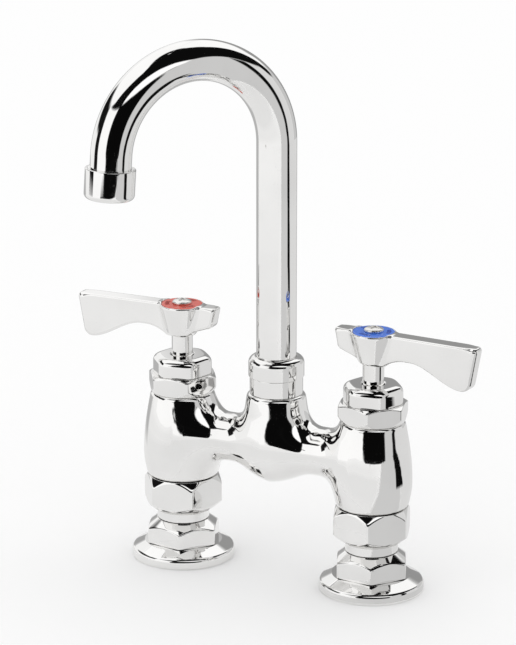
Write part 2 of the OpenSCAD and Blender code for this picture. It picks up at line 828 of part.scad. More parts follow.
// Splined end with twelve points
module spline(tip_r, h) {
    for (turn = [0, 30, 60]) rotate([0, 0, turn])
        translate([-tip_r / sqrt(2), -tip_r / sqrt(2), 0])
        cube([tip_r * sqrt(2), tip_r * sqrt(2), h]);
}

module stem_washer(side) {
    color(white_plastic) at_side(side) ring(stem_bore_r, disc_r - seat_gap, stem_washer_z, stem_washer_t);
}

module stem_o_ring(side) {
    color(rubber) at_side(side)
        o_ring(stem_groove_r + face_gap, stem_ring_d, bonnet_z + stem_ring_h + stem_ring_d / 2 + seat_gap);
}

// Handles

// Side view of the lever: distance from the stem's axis, height from the hub's top
function lever_outline() =
    let (
        tip_up = [lever_reach - tip_round[0], -tip_round[0]],
        tip_low = [lever_reach - tip_lean - tip_round[1], tip_round[1] - tip_h],
        tip_a = -atan2(tip_lean, tip_h),
        tail_low = [tail_lean + tail_round[1] - lever_tail, tail_round[1] - tail_h],
        tail_up = [tail_round[0] - lever_tail, -tail_round[0]],
        tail_a = 180 + atan2(tail_lean, tail_h)
    )
    concat(
        arc(tip_up, tip_round[0], 90, tip_a),
        arc(tip_low, tip_round[1], tip_a, -90),
        [for (i = [1 : curve_steps])
            let (t = i / curve_steps)
            [tip_low[0] + (neck_l - tip_low[0]) * t, (tip_h - neck_h) * ease(t) - tip_h]],
        [for (i = [0 : arc_steps])
            let (t = i / arc_steps)
            [root_l + (hub_foot_r - root_l) * t, (neck_h - hub_h) * t * t - neck_h]],
        [[0, -hub_h]],
        arc(tail_low, tail_round[1], 270, tail_a),
        arc(tail_up, tail_round[0], tail_a, 90)
    );

// Top view of the lever: distance from the stem's axis, distance from the blade's middle
function lever_plan() =
    let (
        tip_x = lever_reach - lever_round,
        tail_x = lever_round - lever_tail,
        edge_y = lever_t / 2 - lever_round
    )
    concat(
        arc([tip_x, edge_y], lever_round, 0, 90),
        arc([tail_x, edge_y], lever_round, 90, 180),
        arc([tail_x, -edge_y], lever_round, 180, 270),
        arc([tip_x, -edge_y], lever_round, 270, 360)
    );

module blade() {
    intersection() {
        translate([0, lever_t / 2, hub_top_z]) rotate([90, 0, 0])
            linear_extrude(lever_t) polygon(lever_outline());
        translate([0, 0, hub_top_z - tip_h - hub_h]) linear_extrude(tip_h + hub_h + cut) polygon(lever_plan());
    }
}

module handle(side) {
    color(chrome) at_side(side) difference() {
        union() {
            rotate_extrude() polygon([
                [0, hub_z],
                [hub_foot_r, hub_z],
                [hub_r, hub_top_z - hub_rim_h],
                [hub_r, hub_top_z],
                [0, hub_top_z]
            ]);
            rotate([0, 0, side == hot ? 180 + lever_yaw : -lever_yaw]) blade();
        }
        column(index_r + seat_gap, index_z, index_t + cut);
        translate([0, 0, hub_z - cut]) spline(spline_r + seat_gap, stem_top_z + face_gap - hub_z + cut);
        column(screw_r + seat_gap, index_z - web_t - cut, web_t + 2 * cut);
    }
}

module index_disc(side) {
    color(of_side(index_colour, side)) at_side(side) ring(screw_r + seat_gap, index_r, index_z, index_t);
}

module handle_screw(side) {
    color(steel) at_side(side) difference() {
        union() {
            column(screw_r, stem_top_z - screw_grip, hub_top_z - stem_top_z + screw_grip + screw_head_h / 2);
            translate([0, 0, hub_top_z]) rotate_extrude() polygon(concat(
                [[0, 0]],
                [[screw_head_d / 2, 0]],
                backwards(quarter(0, screw_head_h, screw_head_d / 2, screw_rim_h))
            ));
        }
        for (turn = [0, 90]) rotate([0, 0, turn])
            translate([-cross_l / 2, -cross_w / 2, hub_top_z + screw_head_h - cross_h])
            cube([cross_l, cross_w, cross_h + cut]);
    }
}

// Spout

module swivel_collar() {
    color(chrome) difference() {
        union() {
            column(swivel_foot_r, socket_z, boss_z - socket_z + cut);
            column(swivel_ring_r, boss_z, swivel_ring_h);
            column(swivel_neck_r, boss_z, swivel_neck_z - boss_z);
        }
        column(swivel_bore_r, socket_z - cut, swivel_neck_z - socket_z + 2 * cut);
    }
}

module spout_nut() {
    color(chrome) difference() {
        translate([0, 0, spout_nut_z]) rotate_extrude() polygon(concat(
            [[0, 0], [spout_nut_r, 0]],
            backwards(quarter(
                spout_nut_r - spout_nut_round, spout_nut_h,
                spout_nut_r, spout_nut_h - spout_nut_round
            )),
            [[0, spout_nut_h]]
        ));
        column(spout_nut_bore_r, spout_nut_z - cut, spout_roof_z - spout_nut_z + cut);
        column(swivel_bore_r, spout_roof_z - cut, spout_nut_roof_t + 2 * cut);
    }
}

// Solid along the gooseneck's axis
module gooseneck(r, spare) {
    in_spout_plane() {
        column(r, tube_z - spare, bend_z - tube_z + spare);
        translate([bend_r, 0, bend_z]) rotate([90, 0, 0]) rotate([0, 0, end_a])
            rotate_extrude(angle = bend_a) translate([bend_r, 0]) circle(r = r + bend_swell);
    }
    at_outlet() cylinder(r = r, h = leg_l + spare);
}

module spout_tube() {
    color(chrome) difference() {
        gooseneck(spout_r, 0);
        gooseneck(spout_bore_r, cut);
    }
}

// Height of the lower and the upper O-ring
function spout_ring_z(i) = ferrule_z + spout_ring_h + spout_ring_pitch * i;

module spout_ferrule() {
    groove_h = spout_ring_d + 2 * seat_gap;
    color(brass) difference() {
        union() {
            column(spout_r, ferrule_z, tube_z - ferrule_z);
            column(spout_bore_r - thread_gap, ferrule_z, tube_z - ferrule_z + ferrule_l);
        }
        column(ferrule_bore_r, ferrule_z - cut, tube_z - ferrule_z + ferrule_l + 2 * cut);
        for (i = [0, 1])
            ring(spout_groove_r, spout_r + cut, spout_ring_z(i) - groove_h / 2, groove_h);
        ring(snap_groove_r, spout_r + cut, snap_z, snap_t);
    }
}

module spout_o_rings() {
    color(rubber) for (i = [0, 1])
        o_ring(spout_groove_r + face_gap, spout_ring_d, spout_ring_z(i));
}

module spout_snap_ring() {
    color(steel) difference() {
        ring(snap_groove_r + face_gap, snap_r, snap_z, snap_t);
        translate([0, -snap_gap_w / 2, snap_z - cut]) cube([2 * snap_r, snap_gap_w, snap_t + 2 * cut]);
    }
}

module spout_thrust_washer() {
    color(white_plastic) ring(spout_r + seat_gap, snap_r, thrust_z, thrust_t);
}

// Aerator

module nozzle_ring() {
    color(chrome) at_outlet() ring(spout_r + thread_gap / 2, nozzle_r, aerator_z, nozzle_l);
}

module aerator_housing() {
    color(chrome) at_outlet() translate([0, 0, aerator_z]) difference() {
        rotate_extrude() polygon(concat(
            [[0, aerator_h]],
            quarter(aerator_r - aerator_round, aerator_h, aerator_r, aerator_h - aerator_round),
            [[aerator_r, 0], [0, 0]]
        ));
        column(aerator_bore_r, -cut, aerator_h - aerator_lip_t + cut);
        column(aerator_hole_r, -cut, aerator_h + 2 * cut);
    }
}

module aerator_insert() {
    rings = floor((aerator_hole_r - jet_d / 2) / jet_pitch);
    color(white_plastic) at_outlet() difference() {
        column(insert_r, insert_z, insert_h);
        for (k = [0 : rings])
            for (i = [0 : max(6 * k, 1) - 1])
            rotate([0, 0, 360 * i / max(6 * k, 1)])
            translate([jet_pitch * k, 0, insert_z - cut])
            cylinder(r = jet_d / 2, h = insert_h + 2 * cut, $fn = 24);
    }
}

module aerator_washer() {
    color(rubber) at_outlet() ring(spout_bore_r, insert_r, leg_l, aerator_washer_t);
}

body_casting();
deck_flange(hot);  // hot_deck_flange
deck_flange(cold);  // cold_deck_flange
flange_gasket(hot);  // hot_flange_gasket
flange_gasket(cold);  // cold_flange_gasket
flange_nut(hot);  // hot_flange_nut
flange_nut(cold);  // cold_flange_nut
inlet_shank(hot);  // hot_inlet_shank
inlet_shank(cold);  // cold_inlet_shank
deck_washer(hot);  // hot_deck_washer
deck_washer(cold);  // cold_deck_washer
deck_locknut(hot);  // hot_deck_locknut
deck_locknut(cold);  // cold_deck_locknut
coupling_nut(hot);  // hot_coupling_nut
coupling_nut(cold);  // cold_coupling_nut
union_washer(hot);  // hot_union_washer
union_washer(cold);  // cold_union_washer
seat_seal(hot);  // hot_seat_seal
seat_seal(cold);  // cold_seat_seal
fixed_disc(hot);  // hot_fixed_disc
fixed_disc(cold);  // cold_fixed_disc
moving_disc(hot);  // hot_moving_disc
moving_disc(cold);  // cold_moving_disc
bonnet_gasket(hot);  // hot_bonnet_gasket
bonnet_gasket(cold);  // cold_bonnet_gasket
bonnet(hot);  // hot_bonnet
bonnet(cold);  // cold_bonnet
packing(hot);  // hot_packing
packing(cold);  // cold_packing
packing_nut(hot);  // hot_packing_nut
packing_nut(cold);  // cold_packing_nut
stem(hot);  // hot_stem
stem(cold);  // cold_stem
stem_washer(hot);  // hot_stem_washer
stem_washer(cold);  // cold_stem_washer
stem_o_ring(hot);  // hot_stem_o_ring
stem_o_ring(cold);  // cold_stem_o_ring
handle(hot);  // hot_handle
handle(cold);  // cold_handle
index_disc(hot);  // hot_index_disc
index_disc(cold);  // cold_index_disc
handle_screw(hot);  // hot_handle_screw
handle_screw(cold);  // cold_handle_screw
swivel_collar();
spout_nut();
spout_tube();
spout_ferrule();
spout_o_rings();
spout_snap_ring();
spout_thrust_washer();
nozzle_ring();
aerator_housing();
aerator_insert();
aerator_washer();
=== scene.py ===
"""Looks of a deck-mounted twin-lever mixing tap with a swivelling gooseneck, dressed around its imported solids."""

import logging
import math
from dataclasses import dataclass, field
from enum import Enum
from typing import Any, Callable, Sequence

import bpy
import numpy as np
from mathutils import Matrix, Vector
from mathutils.geometry import delaunay_2d_cdt


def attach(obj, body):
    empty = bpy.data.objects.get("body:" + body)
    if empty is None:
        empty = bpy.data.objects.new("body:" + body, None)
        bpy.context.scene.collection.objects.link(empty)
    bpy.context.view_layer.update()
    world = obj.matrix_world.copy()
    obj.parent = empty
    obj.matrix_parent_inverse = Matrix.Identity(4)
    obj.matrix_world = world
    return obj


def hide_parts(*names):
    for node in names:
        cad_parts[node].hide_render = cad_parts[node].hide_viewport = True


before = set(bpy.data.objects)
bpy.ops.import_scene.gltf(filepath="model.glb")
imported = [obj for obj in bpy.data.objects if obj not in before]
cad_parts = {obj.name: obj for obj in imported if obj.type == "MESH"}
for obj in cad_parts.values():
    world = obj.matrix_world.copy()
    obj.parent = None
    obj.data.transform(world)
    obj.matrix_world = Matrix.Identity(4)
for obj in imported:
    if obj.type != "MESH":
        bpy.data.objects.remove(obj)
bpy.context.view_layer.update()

LOG = logging.getLogger("tap")
MM = 0.001
HALF_CENTRES = 50.8
# Roundings of turned edges, in millimetres
CRISP, FINE, SOFT, EASED = 0.1, 0.2, 0.3, 0.35
Array = np.ndarray
Colour = tuple[float, float, float]
Corner = tuple[float, float, float]
Field = Callable[[Array], Array]


class Body(Enum):
    """The rigid bodies that pieces ride on."""

    BASE = "base"
    HOT_LEVER = "hot_lever"
    COLD_LEVER = "cold_lever"
    SPOUT = "spout"


class Side(Enum):
    """The two inlets of the tap, by the sign of their place along X."""

    HOT = -1
    COLD = 1

    @property
    def x(self) -> float:
        """Place of the side's valve axis along X, in millimetres."""
        return self.value * HALF_CENTRES

    @property
    def label(self) -> str:
        """First word of the names of the side's pieces."""
        return self.name.lower()

    @property
    def lever(self) -> Body:
        """The body that the side's lever turns with."""
        return self.pick(Body.HOT_LEVER, Body.COLD_LEVER)

    def pick(self, hot: Any, cold: Any) -> Any:
        """The one of two values that belongs to the side."""
        return hot if self is Side.HOT else cold


# Node trees


class Tree:
    """Short hand for building a node tree."""

    def __init__(self, tree: bpy.types.NodeTree) -> None:
        """Takes the tree that nodes are added to."""
        self.tree = tree

    def add(self, kind: str, inputs: dict[Any, Any] | None = None, **settings: Any) -> bpy.types.Node:
        """Adds a node, sets it and links what feeds it.

        Args:
            kind: The node's type name.
            inputs: Values or sockets for the node's inputs, by name or number.
            settings: Properties of the node itself.

        Returns:
            The new node.
        """
        node = self.tree.nodes.new(kind)
        for key, value in settings.items():
            setattr(node, key, value)
        for key, value in (inputs or {}).items():
            if isinstance(value, bpy.types.NodeSocket):
                self.tree.links.new(value, node.inputs[key])
            else:
                node.inputs[key].default_value = value
        return node

    def maths(self, operation: str, *values: Any) -> bpy.types.NodeSocket:
        """Result of a math node on numbers or sockets, in a shader or geometry tree."""
        return self.add("ShaderNodeMath", dict(enumerate(values)), operation=operation).outputs[0]

    def spread(self, value: Any, low: float, high: float, to_low: float, to_high: float) -> bpy.types.NodeSocket:
        """A value mapped from the range low to high onto the range to_low to to_high, clamped."""
        return self.add("ShaderNodeMapRange", {0: value, 1: low, 2: high, 3: to_low, 4: to_high}).outputs[0]


def blank(owner: bpy.types.Material | bpy.types.World) -> Tree:
    """The node tree of a material or world, emptied."""
    owner.use_nodes = True
    owner.node_tree.nodes.clear()
    return Tree(owner.node_tree)


def socket_type(value: Any) -> str:
    """Name of the group socket type that holds a value."""
    if isinstance(value, int):
        return "NodeSocketInt"
    if isinstance(value, tuple):
        return "NodeSocketVector" if len(value) == 3 else "NodeSocketColor"
    return "NodeSocketMaterial" if value is None else "NodeSocketFloat"


# Meshes, in millimetres


def put_in_scene(name: str, data: Any) -> bpy.types.Object:
    """New object that holds a mesh or a camera, linked to the scene."""
    made = bpy.data.objects.new(name, data)
    bpy.context.scene.collection.objects.link(made)
    return made


@dataclass
class Shell:
    """Closed mesh of one piece.

    Attributes:
        points: Place of each vertex.
        faces: Vertex numbers of each face, outward side counter-clockwise.
    """

    points: Array
    faces: list[list[int]]

    def placed(self, matrix: Matrix) -> "Shell":
        """The same mesh under a rigid motion, in millimetres."""
        turn = np.array(matrix.to_3x3())
        return Shell(self.points @ turn.T + np.array(matrix.translation), self.faces)

    def normals(self) -> Array:
        """Vertex normals, each the mean of its faces' normals by their areas."""
        total = np.zeros_like(self.points)
        for size in {len(face) for face in self.faces}:
            rows = np.array([face for face in self.faces if len(face) == size])
            corner = self.points[rows]
            if size == 3:
                across = np.cross(corner[:, 1] - corner[:, 0], corner[:, 2] - corner[:, 0])
            else:
                across = np.cross(corner[:, 2] - corner[:, 0], corner[:, size - 1] - corner[:, 1])
            for column in range(size):
                np.add.at(total, rows[:, column], across)
        length = np.linalg.norm(total, axis=1, keepdims=True)
        return total / np.maximum(length, 1e-12)

    def piece(self, name: str, body: Body, finish: "Finish", *nodes: str) -> None:
        """Makes the mesh a piece of the tap.

        Args:
            name: The piece's name.
            body: The body that it moves with.
            finish: Its finish.
            nodes: The solids that it stands for.
        """
        mesh = bpy.data.meshes.new(name)
        mesh.from_pydata((self.points * MM).tolist(), [], self.faces)
        mesh.shade_smooth()
        mesh.normals_split_custom_set_from_vertices(self.normals().tolist())
        mesh.materials.append(finish.material())
        piece = put_in_scene(name, mesh)
        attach(piece, body.value)
        if nodes:
            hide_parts(*nodes)
        LOG.info("%s: %d faces on %s", name, len(mesh.polygons), body.value)


def rounded(corners: Sequence[Corner], longest: float = 2.0, steps: int = 6, inner: float = 0.0) -> Array:
    """Closed section with rounded corners.

    Args:
        corners: Radius, height and rounding of each corner, in order.
        longest: Longest side left undivided.
        steps: Sides in each rounding.
        inner: Radius up to which sides are left whole.

    Returns:
        The section's points, counter-clockwise with the radius to the right.
    """
    place = np.array([corner[:2] for corner in corners], float)
    count = len(place)
    outline: list[Array] = []
    for i, corner in enumerate(corners):
        here = place[i]
        back = place[i - 1] - here
        ahead = place[(i + 1) % count] - here
        back /= np.linalg.norm(back)
        ahead /= np.linalg.norm(ahead)
        half = math.acos(float(np.clip(back @ ahead, -1, 1))) / 2
        if corner[2] <= 0 or half > math.radians(89):
            outline.append(here)
            continue
        reach = corner[2] / math.tan(half)
        middle = here + (back + ahead) / np.linalg.norm(back + ahead) * corner[2] / math.sin(half)
        start, end = here + back * reach - middle, here + ahead * reach - middle
        sweep = math.pi - 2 * half
        for step in range(steps + 1):
            t = step / steps
            blend = math.sin((1 - t) * sweep) * start + math.sin(t * sweep) * end
            outline.append(middle + blend / math.sin(sweep))
    divided: list[Array] = []
    for a, b in zip(outline, outline[1:] + outline[:1]):
        whole = max(a[0], b[0]) <= inner
        pieces = 1 if whole else max(1, math.ceil(np.linalg.norm(b - a) / longest))
        divided += [a + (b - a) * t / pieces for t in range(pieces)]
    section = np.array(divided)
    ahead = np.roll(section, -1, 0)
    area = (section[:, 0] * ahead[:, 1] - section[:, 1] * ahead[:, 0]).sum()
    return section if area > 0 else section[::-1]


def curve(r0: float, z0: float, r1: float, z1: float, steps: int = 14) -> list[Corner]:
    """Quarter of an ellipse as unrounded corners.

    Args:
        r0: Radius at the start, which the curve leaves along the radius.
        z0: Height at the start.
        r1: Radius at the end, which the curve reaches along the axis.
        z1: Height at the end.
        steps: Number of sides.

    Returns:
        The corners from the start to the end.
    """
    turns = [math.pi / 2 * i / steps for i in range(steps + 1)]
    return [(r0 + (r1 - r0) * math.sin(t), z1 + (z0 - z1) * math.cos(t), 0.0) for t in turns]


def arc(middle: tuple[float, float], r: float, start: float, end: float) -> list[tuple[float, float]]:
    """Points on an arc round a middle, between two angles in degrees."""
    turns = np.radians(np.linspace(start, end, 9))
    return [(middle[0] + r * math.cos(t), middle[1] + r * math.sin(t)) for t in turns]


def lathe(section: Array, segments: int = 192) -> Shell:
    """Closed section turned round the Z axis.

    Args:
        section: Points of radius and height, counter-clockwise.
        segments: Sides of the round.

    Returns:
        The turned shell.
    """
    turn = np.arange(segments) * 2 * math.pi / segments
    ring = np.stack([np.cos(turn), np.sin(turn)], -1)
    rows = len(section)
    points = np.empty((rows, segments, 3))
    points[..., :2] = section[:, None, :1] * ring[None]
    points[..., 2] = section[:, None, 1]
    row, column = np.meshgrid(np.arange(rows), np.arange(segments), indexing="ij")
    row_up, column_on = (row + 1) % rows, (column + 1) % segments
    corners = ((row, column), (row, column_on), (row_up, column_on), (row_up, column))
    faces = np.stack([r * segments + c for r, c in corners], -1)
    return Shell(points.reshape(-1, 3), faces.reshape(-1, 4).tolist())


def hexagon_reach(points: Array, yaw: float, power: float = 48) -> Array:
    """Distance from the axis to a hexagon with softened corners, for flats at a distance of 1.

    Args:
        points: Points whose directions from the axis are taken.
        yaw: Angle of a corner, in degrees.
        power: Sharpness of the corners.

    Returns:
        The distance in each point's direction.
    """
    turn = np.arctan2(points[:, 1], points[:, 0])
    flats = np.radians(yaw + 30 + 60 * np.arange(6))
    facing = np.maximum(np.cos(turn[:, None] - flats), 0)
    return 1 / (facing**power).sum(1) ** (1 / power)


def hexagonal(shell: Shell, flat_r: float, yaw: float, power: float = 90) -> Shell:
    """Presses the outside of a turned shell to a hexagon with softened edges.

    Args:
        shell: The turned shell.
        flat_r: Distance from the axis to a flat.
        yaw: Angle of a corner, in degrees.
        power: Sharpness of the edges between flats and ends.

    Returns:
        The hexagonal shell.
    """
    r = np.hypot(shell.points[:, 0], shell.points[:, 1])
    hexagon = flat_r * hexagon_reach(shell.points, yaw)
    pressed = r / (1 + (r / hexagon) ** power) ** (1 / power)
    points = shell.points.copy()
    points[:, :2] *= (pressed / r)[:, None]
    return Shell(points, shell.faces)


def soft_min(a: Array, b: Array, width: float) -> Array:
    """Union of two distance fields with a fillet of about that width."""
    near = np.maximum(width - np.abs(a - b), 0) / width
    return np.minimum(a, b) - near * near * width / 4


def soft_max(a: Array, b: Array, width: float) -> Array:
    """Common part of two distance fields with an edge rounded over about that width."""
    return -soft_min(-a, -b, width)


def ellipse_distance(across: Array, up: Array, width: float, height: float) -> Array:
    """Distance to an ellipse round the origin, from its two half sizes."""
    k0 = np.hypot(across / width, up / height)
    k1 = np.hypot(across / width**2, up / height**2)
    return k0 * (k0 - 1) / np.maximum(k1, 1e-9)


def slope(distance: Field, points: Array, reach: float = 0.02) -> Array:
    """Gradient of a distance field.

    Args:
        distance: The field.
        points: Where it is taken.
        reach: Half the distance between the two readings along each axis.

    Returns:
        The gradient at each point.
    """
    result = np.empty_like(points)
    for axis in range(3):
        step = np.zeros(3)
        step[axis] = reach
        result[:, axis] = (distance(points + step) - distance(points - step)) / (2 * reach)
    return result


def pitch(step: float) -> float:
    return step * 1


def cell_points(grid: Array, value: Array, step: float) -> tuple[Array, Array]:
    """A point in each grid cell that a surface crosses, at the mean of the crossings on the cell's edges.

    Args:
        grid: Places of the grid's nodes.
        value: The field at the nodes, below zero inside.
        step: Pitch of the grid.

    Returns:
        The points, and for each cell its point's number or -1.
    """
    cells = tuple(n - 1 for n in value.shape)
    total, hits = np.zeros(cells + (3,)), np.zeros(cells)
    for axis in range(3):
        first, second = [slice(None)] * 3, [slice(None)] * 3
        first[axis], second[axis] = slice(0, -1), slice(1, None)
        a, b = value[tuple(first)], value[tuple(second)]
        crossed = (a < 0) != (b < 0)
        share = np.where(crossed, a / np.where(crossed, a - b, 1), 0)
        place = np.where(crossed[..., None], grid[tuple(first)], 0)
        place[..., axis] += share * step * crossed
        others = [other for other in range(3) if other != axis]
        for shift in ((0, 0), (0, 1), (1, 0), (1, 1)):
            part = [slice(None)] * 3
            for other, k in zip(others, shift):
                part[other] = slice(k, cells[other] + k)
            total += place[tuple(part)]
            hits += crossed[tuple(part)]
    mixed = hits > 0
    number = np.full(cells, -1)
    number[mixed] = np.arange(mixed.sum())
    return total[mixed] / hits[mixed][:, None], number


def cell_faces(inside: Array, number: Array) -> Array:
    """Quads between the four cells round each grid edge that a surface crosses.

    Args:
        inside: Which of the grid's nodes lie inside.
        number: Number of each cell's point.

    Returns:
        Point numbers of each quad, outward side counter-clockwise.
    """
    quads = []
    for axis in range(3):
        others = ((axis + 1) % 3, (axis + 2) % 3)
        part, ahead = [slice(None)] * 3, [slice(None)] * 3
        part[axis], ahead[axis] = slice(0, -1), slice(1, None)
        found = np.argwhere(inside[tuple(part)] != inside[tuple(ahead)])
        ring = []
        for shift in ((-1, -1), (0, -1), (0, 0), (-1, 0)):
            cell = found.copy()
            cell[:, others] += shift
            ring.append(number[tuple(cell.T)])
        faces = np.stack(ring, -1)
        outward = inside[tuple(found.T)]
        faces[~outward] = faces[~outward][:, ::-1]
        quads.append(faces)
    return np.concatenate(quads)


def skin(distance: Field, low: Sequence[float], high: Sequence[float], step: float, rounds: int = 3) -> Shell:
    """Closed mesh of the zero surface of a distance field.

    Args:
        distance: The field, below zero inside.
        low: Lowest corner of the space that holds the surface.
        high: Highest corner of that space.
        step: Pitch of the grid.
        rounds: Times that the mesh is evened out on the surface.

    Returns:
        The surface as an even mesh of quads.
    """
    axes = [np.arange(a, b + step, step) for a, b in zip(low, high)]
    grid = np.stack(np.meshgrid(*axes, indexing="ij"), -1)
    value = distance(grid.reshape(-1, 3)).reshape(grid.shape[:3])
    points, number = cell_points(grid, value, step)
    faces = cell_faces(value < 0, number)
    for turn in range(rounds + 1):
        if turn:
            points = evened(points, faces)
        for _ in range(3):
            across = slope(distance, points)
            size = np.maximum((across**2).sum(1), 1e-6)
            points = points - across * (distance(points) / size)[:, None]
    return Shell(points, faces.tolist())


def evened(points: Array, faces: Array) -> Array:
    """Moves each vertex halfway to the mean of its neighbours.

    Args:
        points: Place of each vertex.
        faces: Vertex numbers of each quad.

    Returns:
        The moved vertices.
    """
    start, end = faces.ravel(), np.roll(faces, -1, 1).ravel()
    count = np.bincount(start, minlength=len(points)) + np.bincount(end, minlength=len(points))
    total = np.stack(
        [
            np.bincount(start, points[end, axis], len(points)) + np.bincount(end, points[start, axis], len(points))
            for axis in range(3)
        ],
        -1,
    )
    return (points + total / count[:, None]) / 2


def outline_distance(points: Array, outline: Array) -> Array:
    """Signed distance to a closed flat outline.

    Args:
        points: Points in the outline's plane.
        outline: The outline's corners in order.

    Returns:
        The distance of each point, below zero inside.
    """
    best = np.full(len(points), np.inf)
    sign = np.ones(len(points))
    for a, b in zip(outline, np.roll(outline, -1, 0)):
        edge, reach = b - a, points - a
        share = np.clip(reach @ edge / (edge @ edge), 0, 1)
        best = np.minimum(best, ((reach - share[:, None] * edge) ** 2).sum(1))
        above, below = points[:, 1] >= a[1], points[:, 1] < b[1]
        left = edge[0] * reach[:, 1] > edge[1] * reach[:, 0]
        sign = np.where((above & below & left) | ~(above | below | left), -sign, sign)
    return sign * np.sqrt(best)


# Geometry node trees


class Rule:
    """A geometry node tree with named inputs, which makes or changes one mesh."""

    def __init__(self, name: str, **inputs: Any) -> None:
        """Starts the tree.

        Args:
            name: The tree's name.
            inputs: Default of each named input; None stands for the finish.
        """
        self.group = bpy.data.node_groups.new(name, "GeometryNodeTree")
        self.group.interface.new_socket("Geometry", in_out="INPUT", socket_type="NodeSocketGeometry")
        self.names: dict[str, str] = {}
        for key, value in inputs.items():
            made = self.group.interface.new_socket(key, in_out="INPUT", socket_type=socket_type(value))
            if value is not None:
                made.default_value = value
            self.names[key] = made.identifier
        self.group.interface.new_socket("Geometry", in_out="OUTPUT", socket_type="NodeSocketGeometry")
        self.tree = Tree(self.group)
        self.given = self.tree.add("NodeGroupInput").outputs

    def close(self, geometry: bpy.types.NodeSocket) -> None:
        """Ends the tree in real geometry with its finish."""
        real = self.tree.add("GeometryNodeRealizeInstances", {0: geometry})
        smooth = self.tree.add("GeometryNodeSetShadeSmooth", {0: real.outputs[0]})
        dressed = self.tree.add("GeometryNodeSetMaterial", {0: smooth.outputs[0], "Material": self.given["Finish"]})
        self.tree.add("NodeGroupOutput", {0: dressed.outputs[0]})

    def bake(self, carrier: bpy.types.Object, finish: "Finish", wall: float = 0, **values: Any) -> Shell:
        """Runs the tree on a carrier and keeps the result as a plain mesh.

        Args:
            carrier: The object that the tree reads; it is removed.
            finish: The finish that the tree sets.
            wall: Thickness of an inward wall, in millimetres, if any.
            values: Values of the named inputs.

        Returns:
            The result.
        """
        modifier = carrier.modifiers.new("rule", "NODES")
        modifier.node_group = self.group
        for key, value in {**values, "Finish": finish.material()}.items():
            modifier[self.names[key]] = value
        if wall:
            thick = carrier.modifiers.new("wall", "SOLIDIFY")
            thick.thickness, thick.offset, thick.use_rim = wall * MM, -1, True
        graph = bpy.context.evaluated_depsgraph_get()
        mesh = bpy.data.meshes.new_from_object(carrier.evaluated_get(graph), depsgraph=graph)
        shell = Shell(np.array([v.co for v in mesh.vertices]) / MM, [list(p.vertices) for p in mesh.polygons])
        bpy.data.objects.remove(carrier)
        bpy.data.meshes.remove(mesh)
        return shell


def carrier_of(
    name: str, points: Array, edges: Sequence[tuple[int, int]] = (), faces: Sequence[Sequence[int]] = ()
) -> bpy.types.Object:
    """Object that a rule reads its geometry from.

    Args:
        name: The object's name.
        points: Places in millimetres.
        edges: Loose edges.
        faces: Faces.

    Returns:
        The object.
    """
    mesh = bpy.data.meshes.new(name)
    mesh.from_pydata((np.asarray(points) * MM).tolist(), list(edges), list(faces))
    return put_in_scene(name, mesh)


def tube_rule() -> Rule:
    """Rule that draws a round tube along a line of edges."""
    rule = Rule("tube_along_a_line", Radius=0.01, Segments=64, Finish=None)
    line = rule.tree.add("GeometryNodeMeshToCurve", {0: rule.given["Geometry"]})
    ring = rule.tree.add(
        "GeometryNodeCurvePrimitiveCircle", {"Resolution": rule.given["Segments"], "Radius": rule.given["Radius"]}
    )
    swept = rule.tree.add("GeometryNodeCurveToMesh", {"Curve": line.outputs[0], "Profile Curve": ring.outputs[0]})
    rule.close(swept.outputs[0])
    return rule


def thread_rule() -> Rule:
    """Rule that cuts a helical thread into the outside of an upright round bar."""
    rule = Rule("thread_on_a_bar", Pitch=0.0018, Depth=0.001, Core=0.009, Low=0.0, High=0.05, Finish=None)
    tree = rule.tree
    place = tree.add("ShaderNodeSeparateXYZ", {0: tree.add("GeometryNodeInputPosition").outputs[0]}).outputs
    turn = tree.maths("DIVIDE", tree.maths("ARCTAN2", place[1], place[0]), 2 * math.pi)
    phase = tree.maths("FRACT", tree.maths("SUBTRACT", tree.maths("DIVIDE", place[2], rule.given["Pitch"]), turn))
    ridge = tree.maths("ABSOLUTE", tree.maths("SUBTRACT", tree.maths("MULTIPLY", phase, 2), 1))
    groove = tree.spread(ridge, 0.16, 0.88, 1, 0)
    flat = tree.add("ShaderNodeCombineXYZ", {0: place[0], 1: place[1]}).outputs[0]
    radius = tree.add("ShaderNodeVectorMath", {0: flat}, operation="LENGTH").outputs["Value"]
    outside = tree.maths("GREATER_THAN", radius, rule.given["Core"])
    above = tree.maths("DIVIDE", tree.maths("SUBTRACT", place[2], rule.given["Low"]), rule.given["Pitch"])
    below = tree.maths("DIVIDE", tree.maths("SUBTRACT", rule.given["High"], place[2]), rule.given["Pitch"])
    ends = tree.spread(tree.maths("MINIMUM", above, below), 0, 1, 0, 1)
    cut = tree.maths("MULTIPLY", outside, ends)
    depth = tree.maths("MULTIPLY", tree.maths("MULTIPLY", groove, rule.given["Depth"]), cut)
    inward = tree.add("ShaderNodeVectorMath", {0: flat}, operation="NORMALIZE").outputs[0]
    offset = tree.add(
        "ShaderNodeVectorMath", {0: inward, "Scale": tree.maths("MULTIPLY", depth, -1)}, operation="SCALE"
    ).outputs[0]
    moved = tree.add("GeometryNodeSetPosition", {"Geometry": rule.given["Geometry"], "Offset": offset})
    rule.close(moved.outputs[0])
    return rule


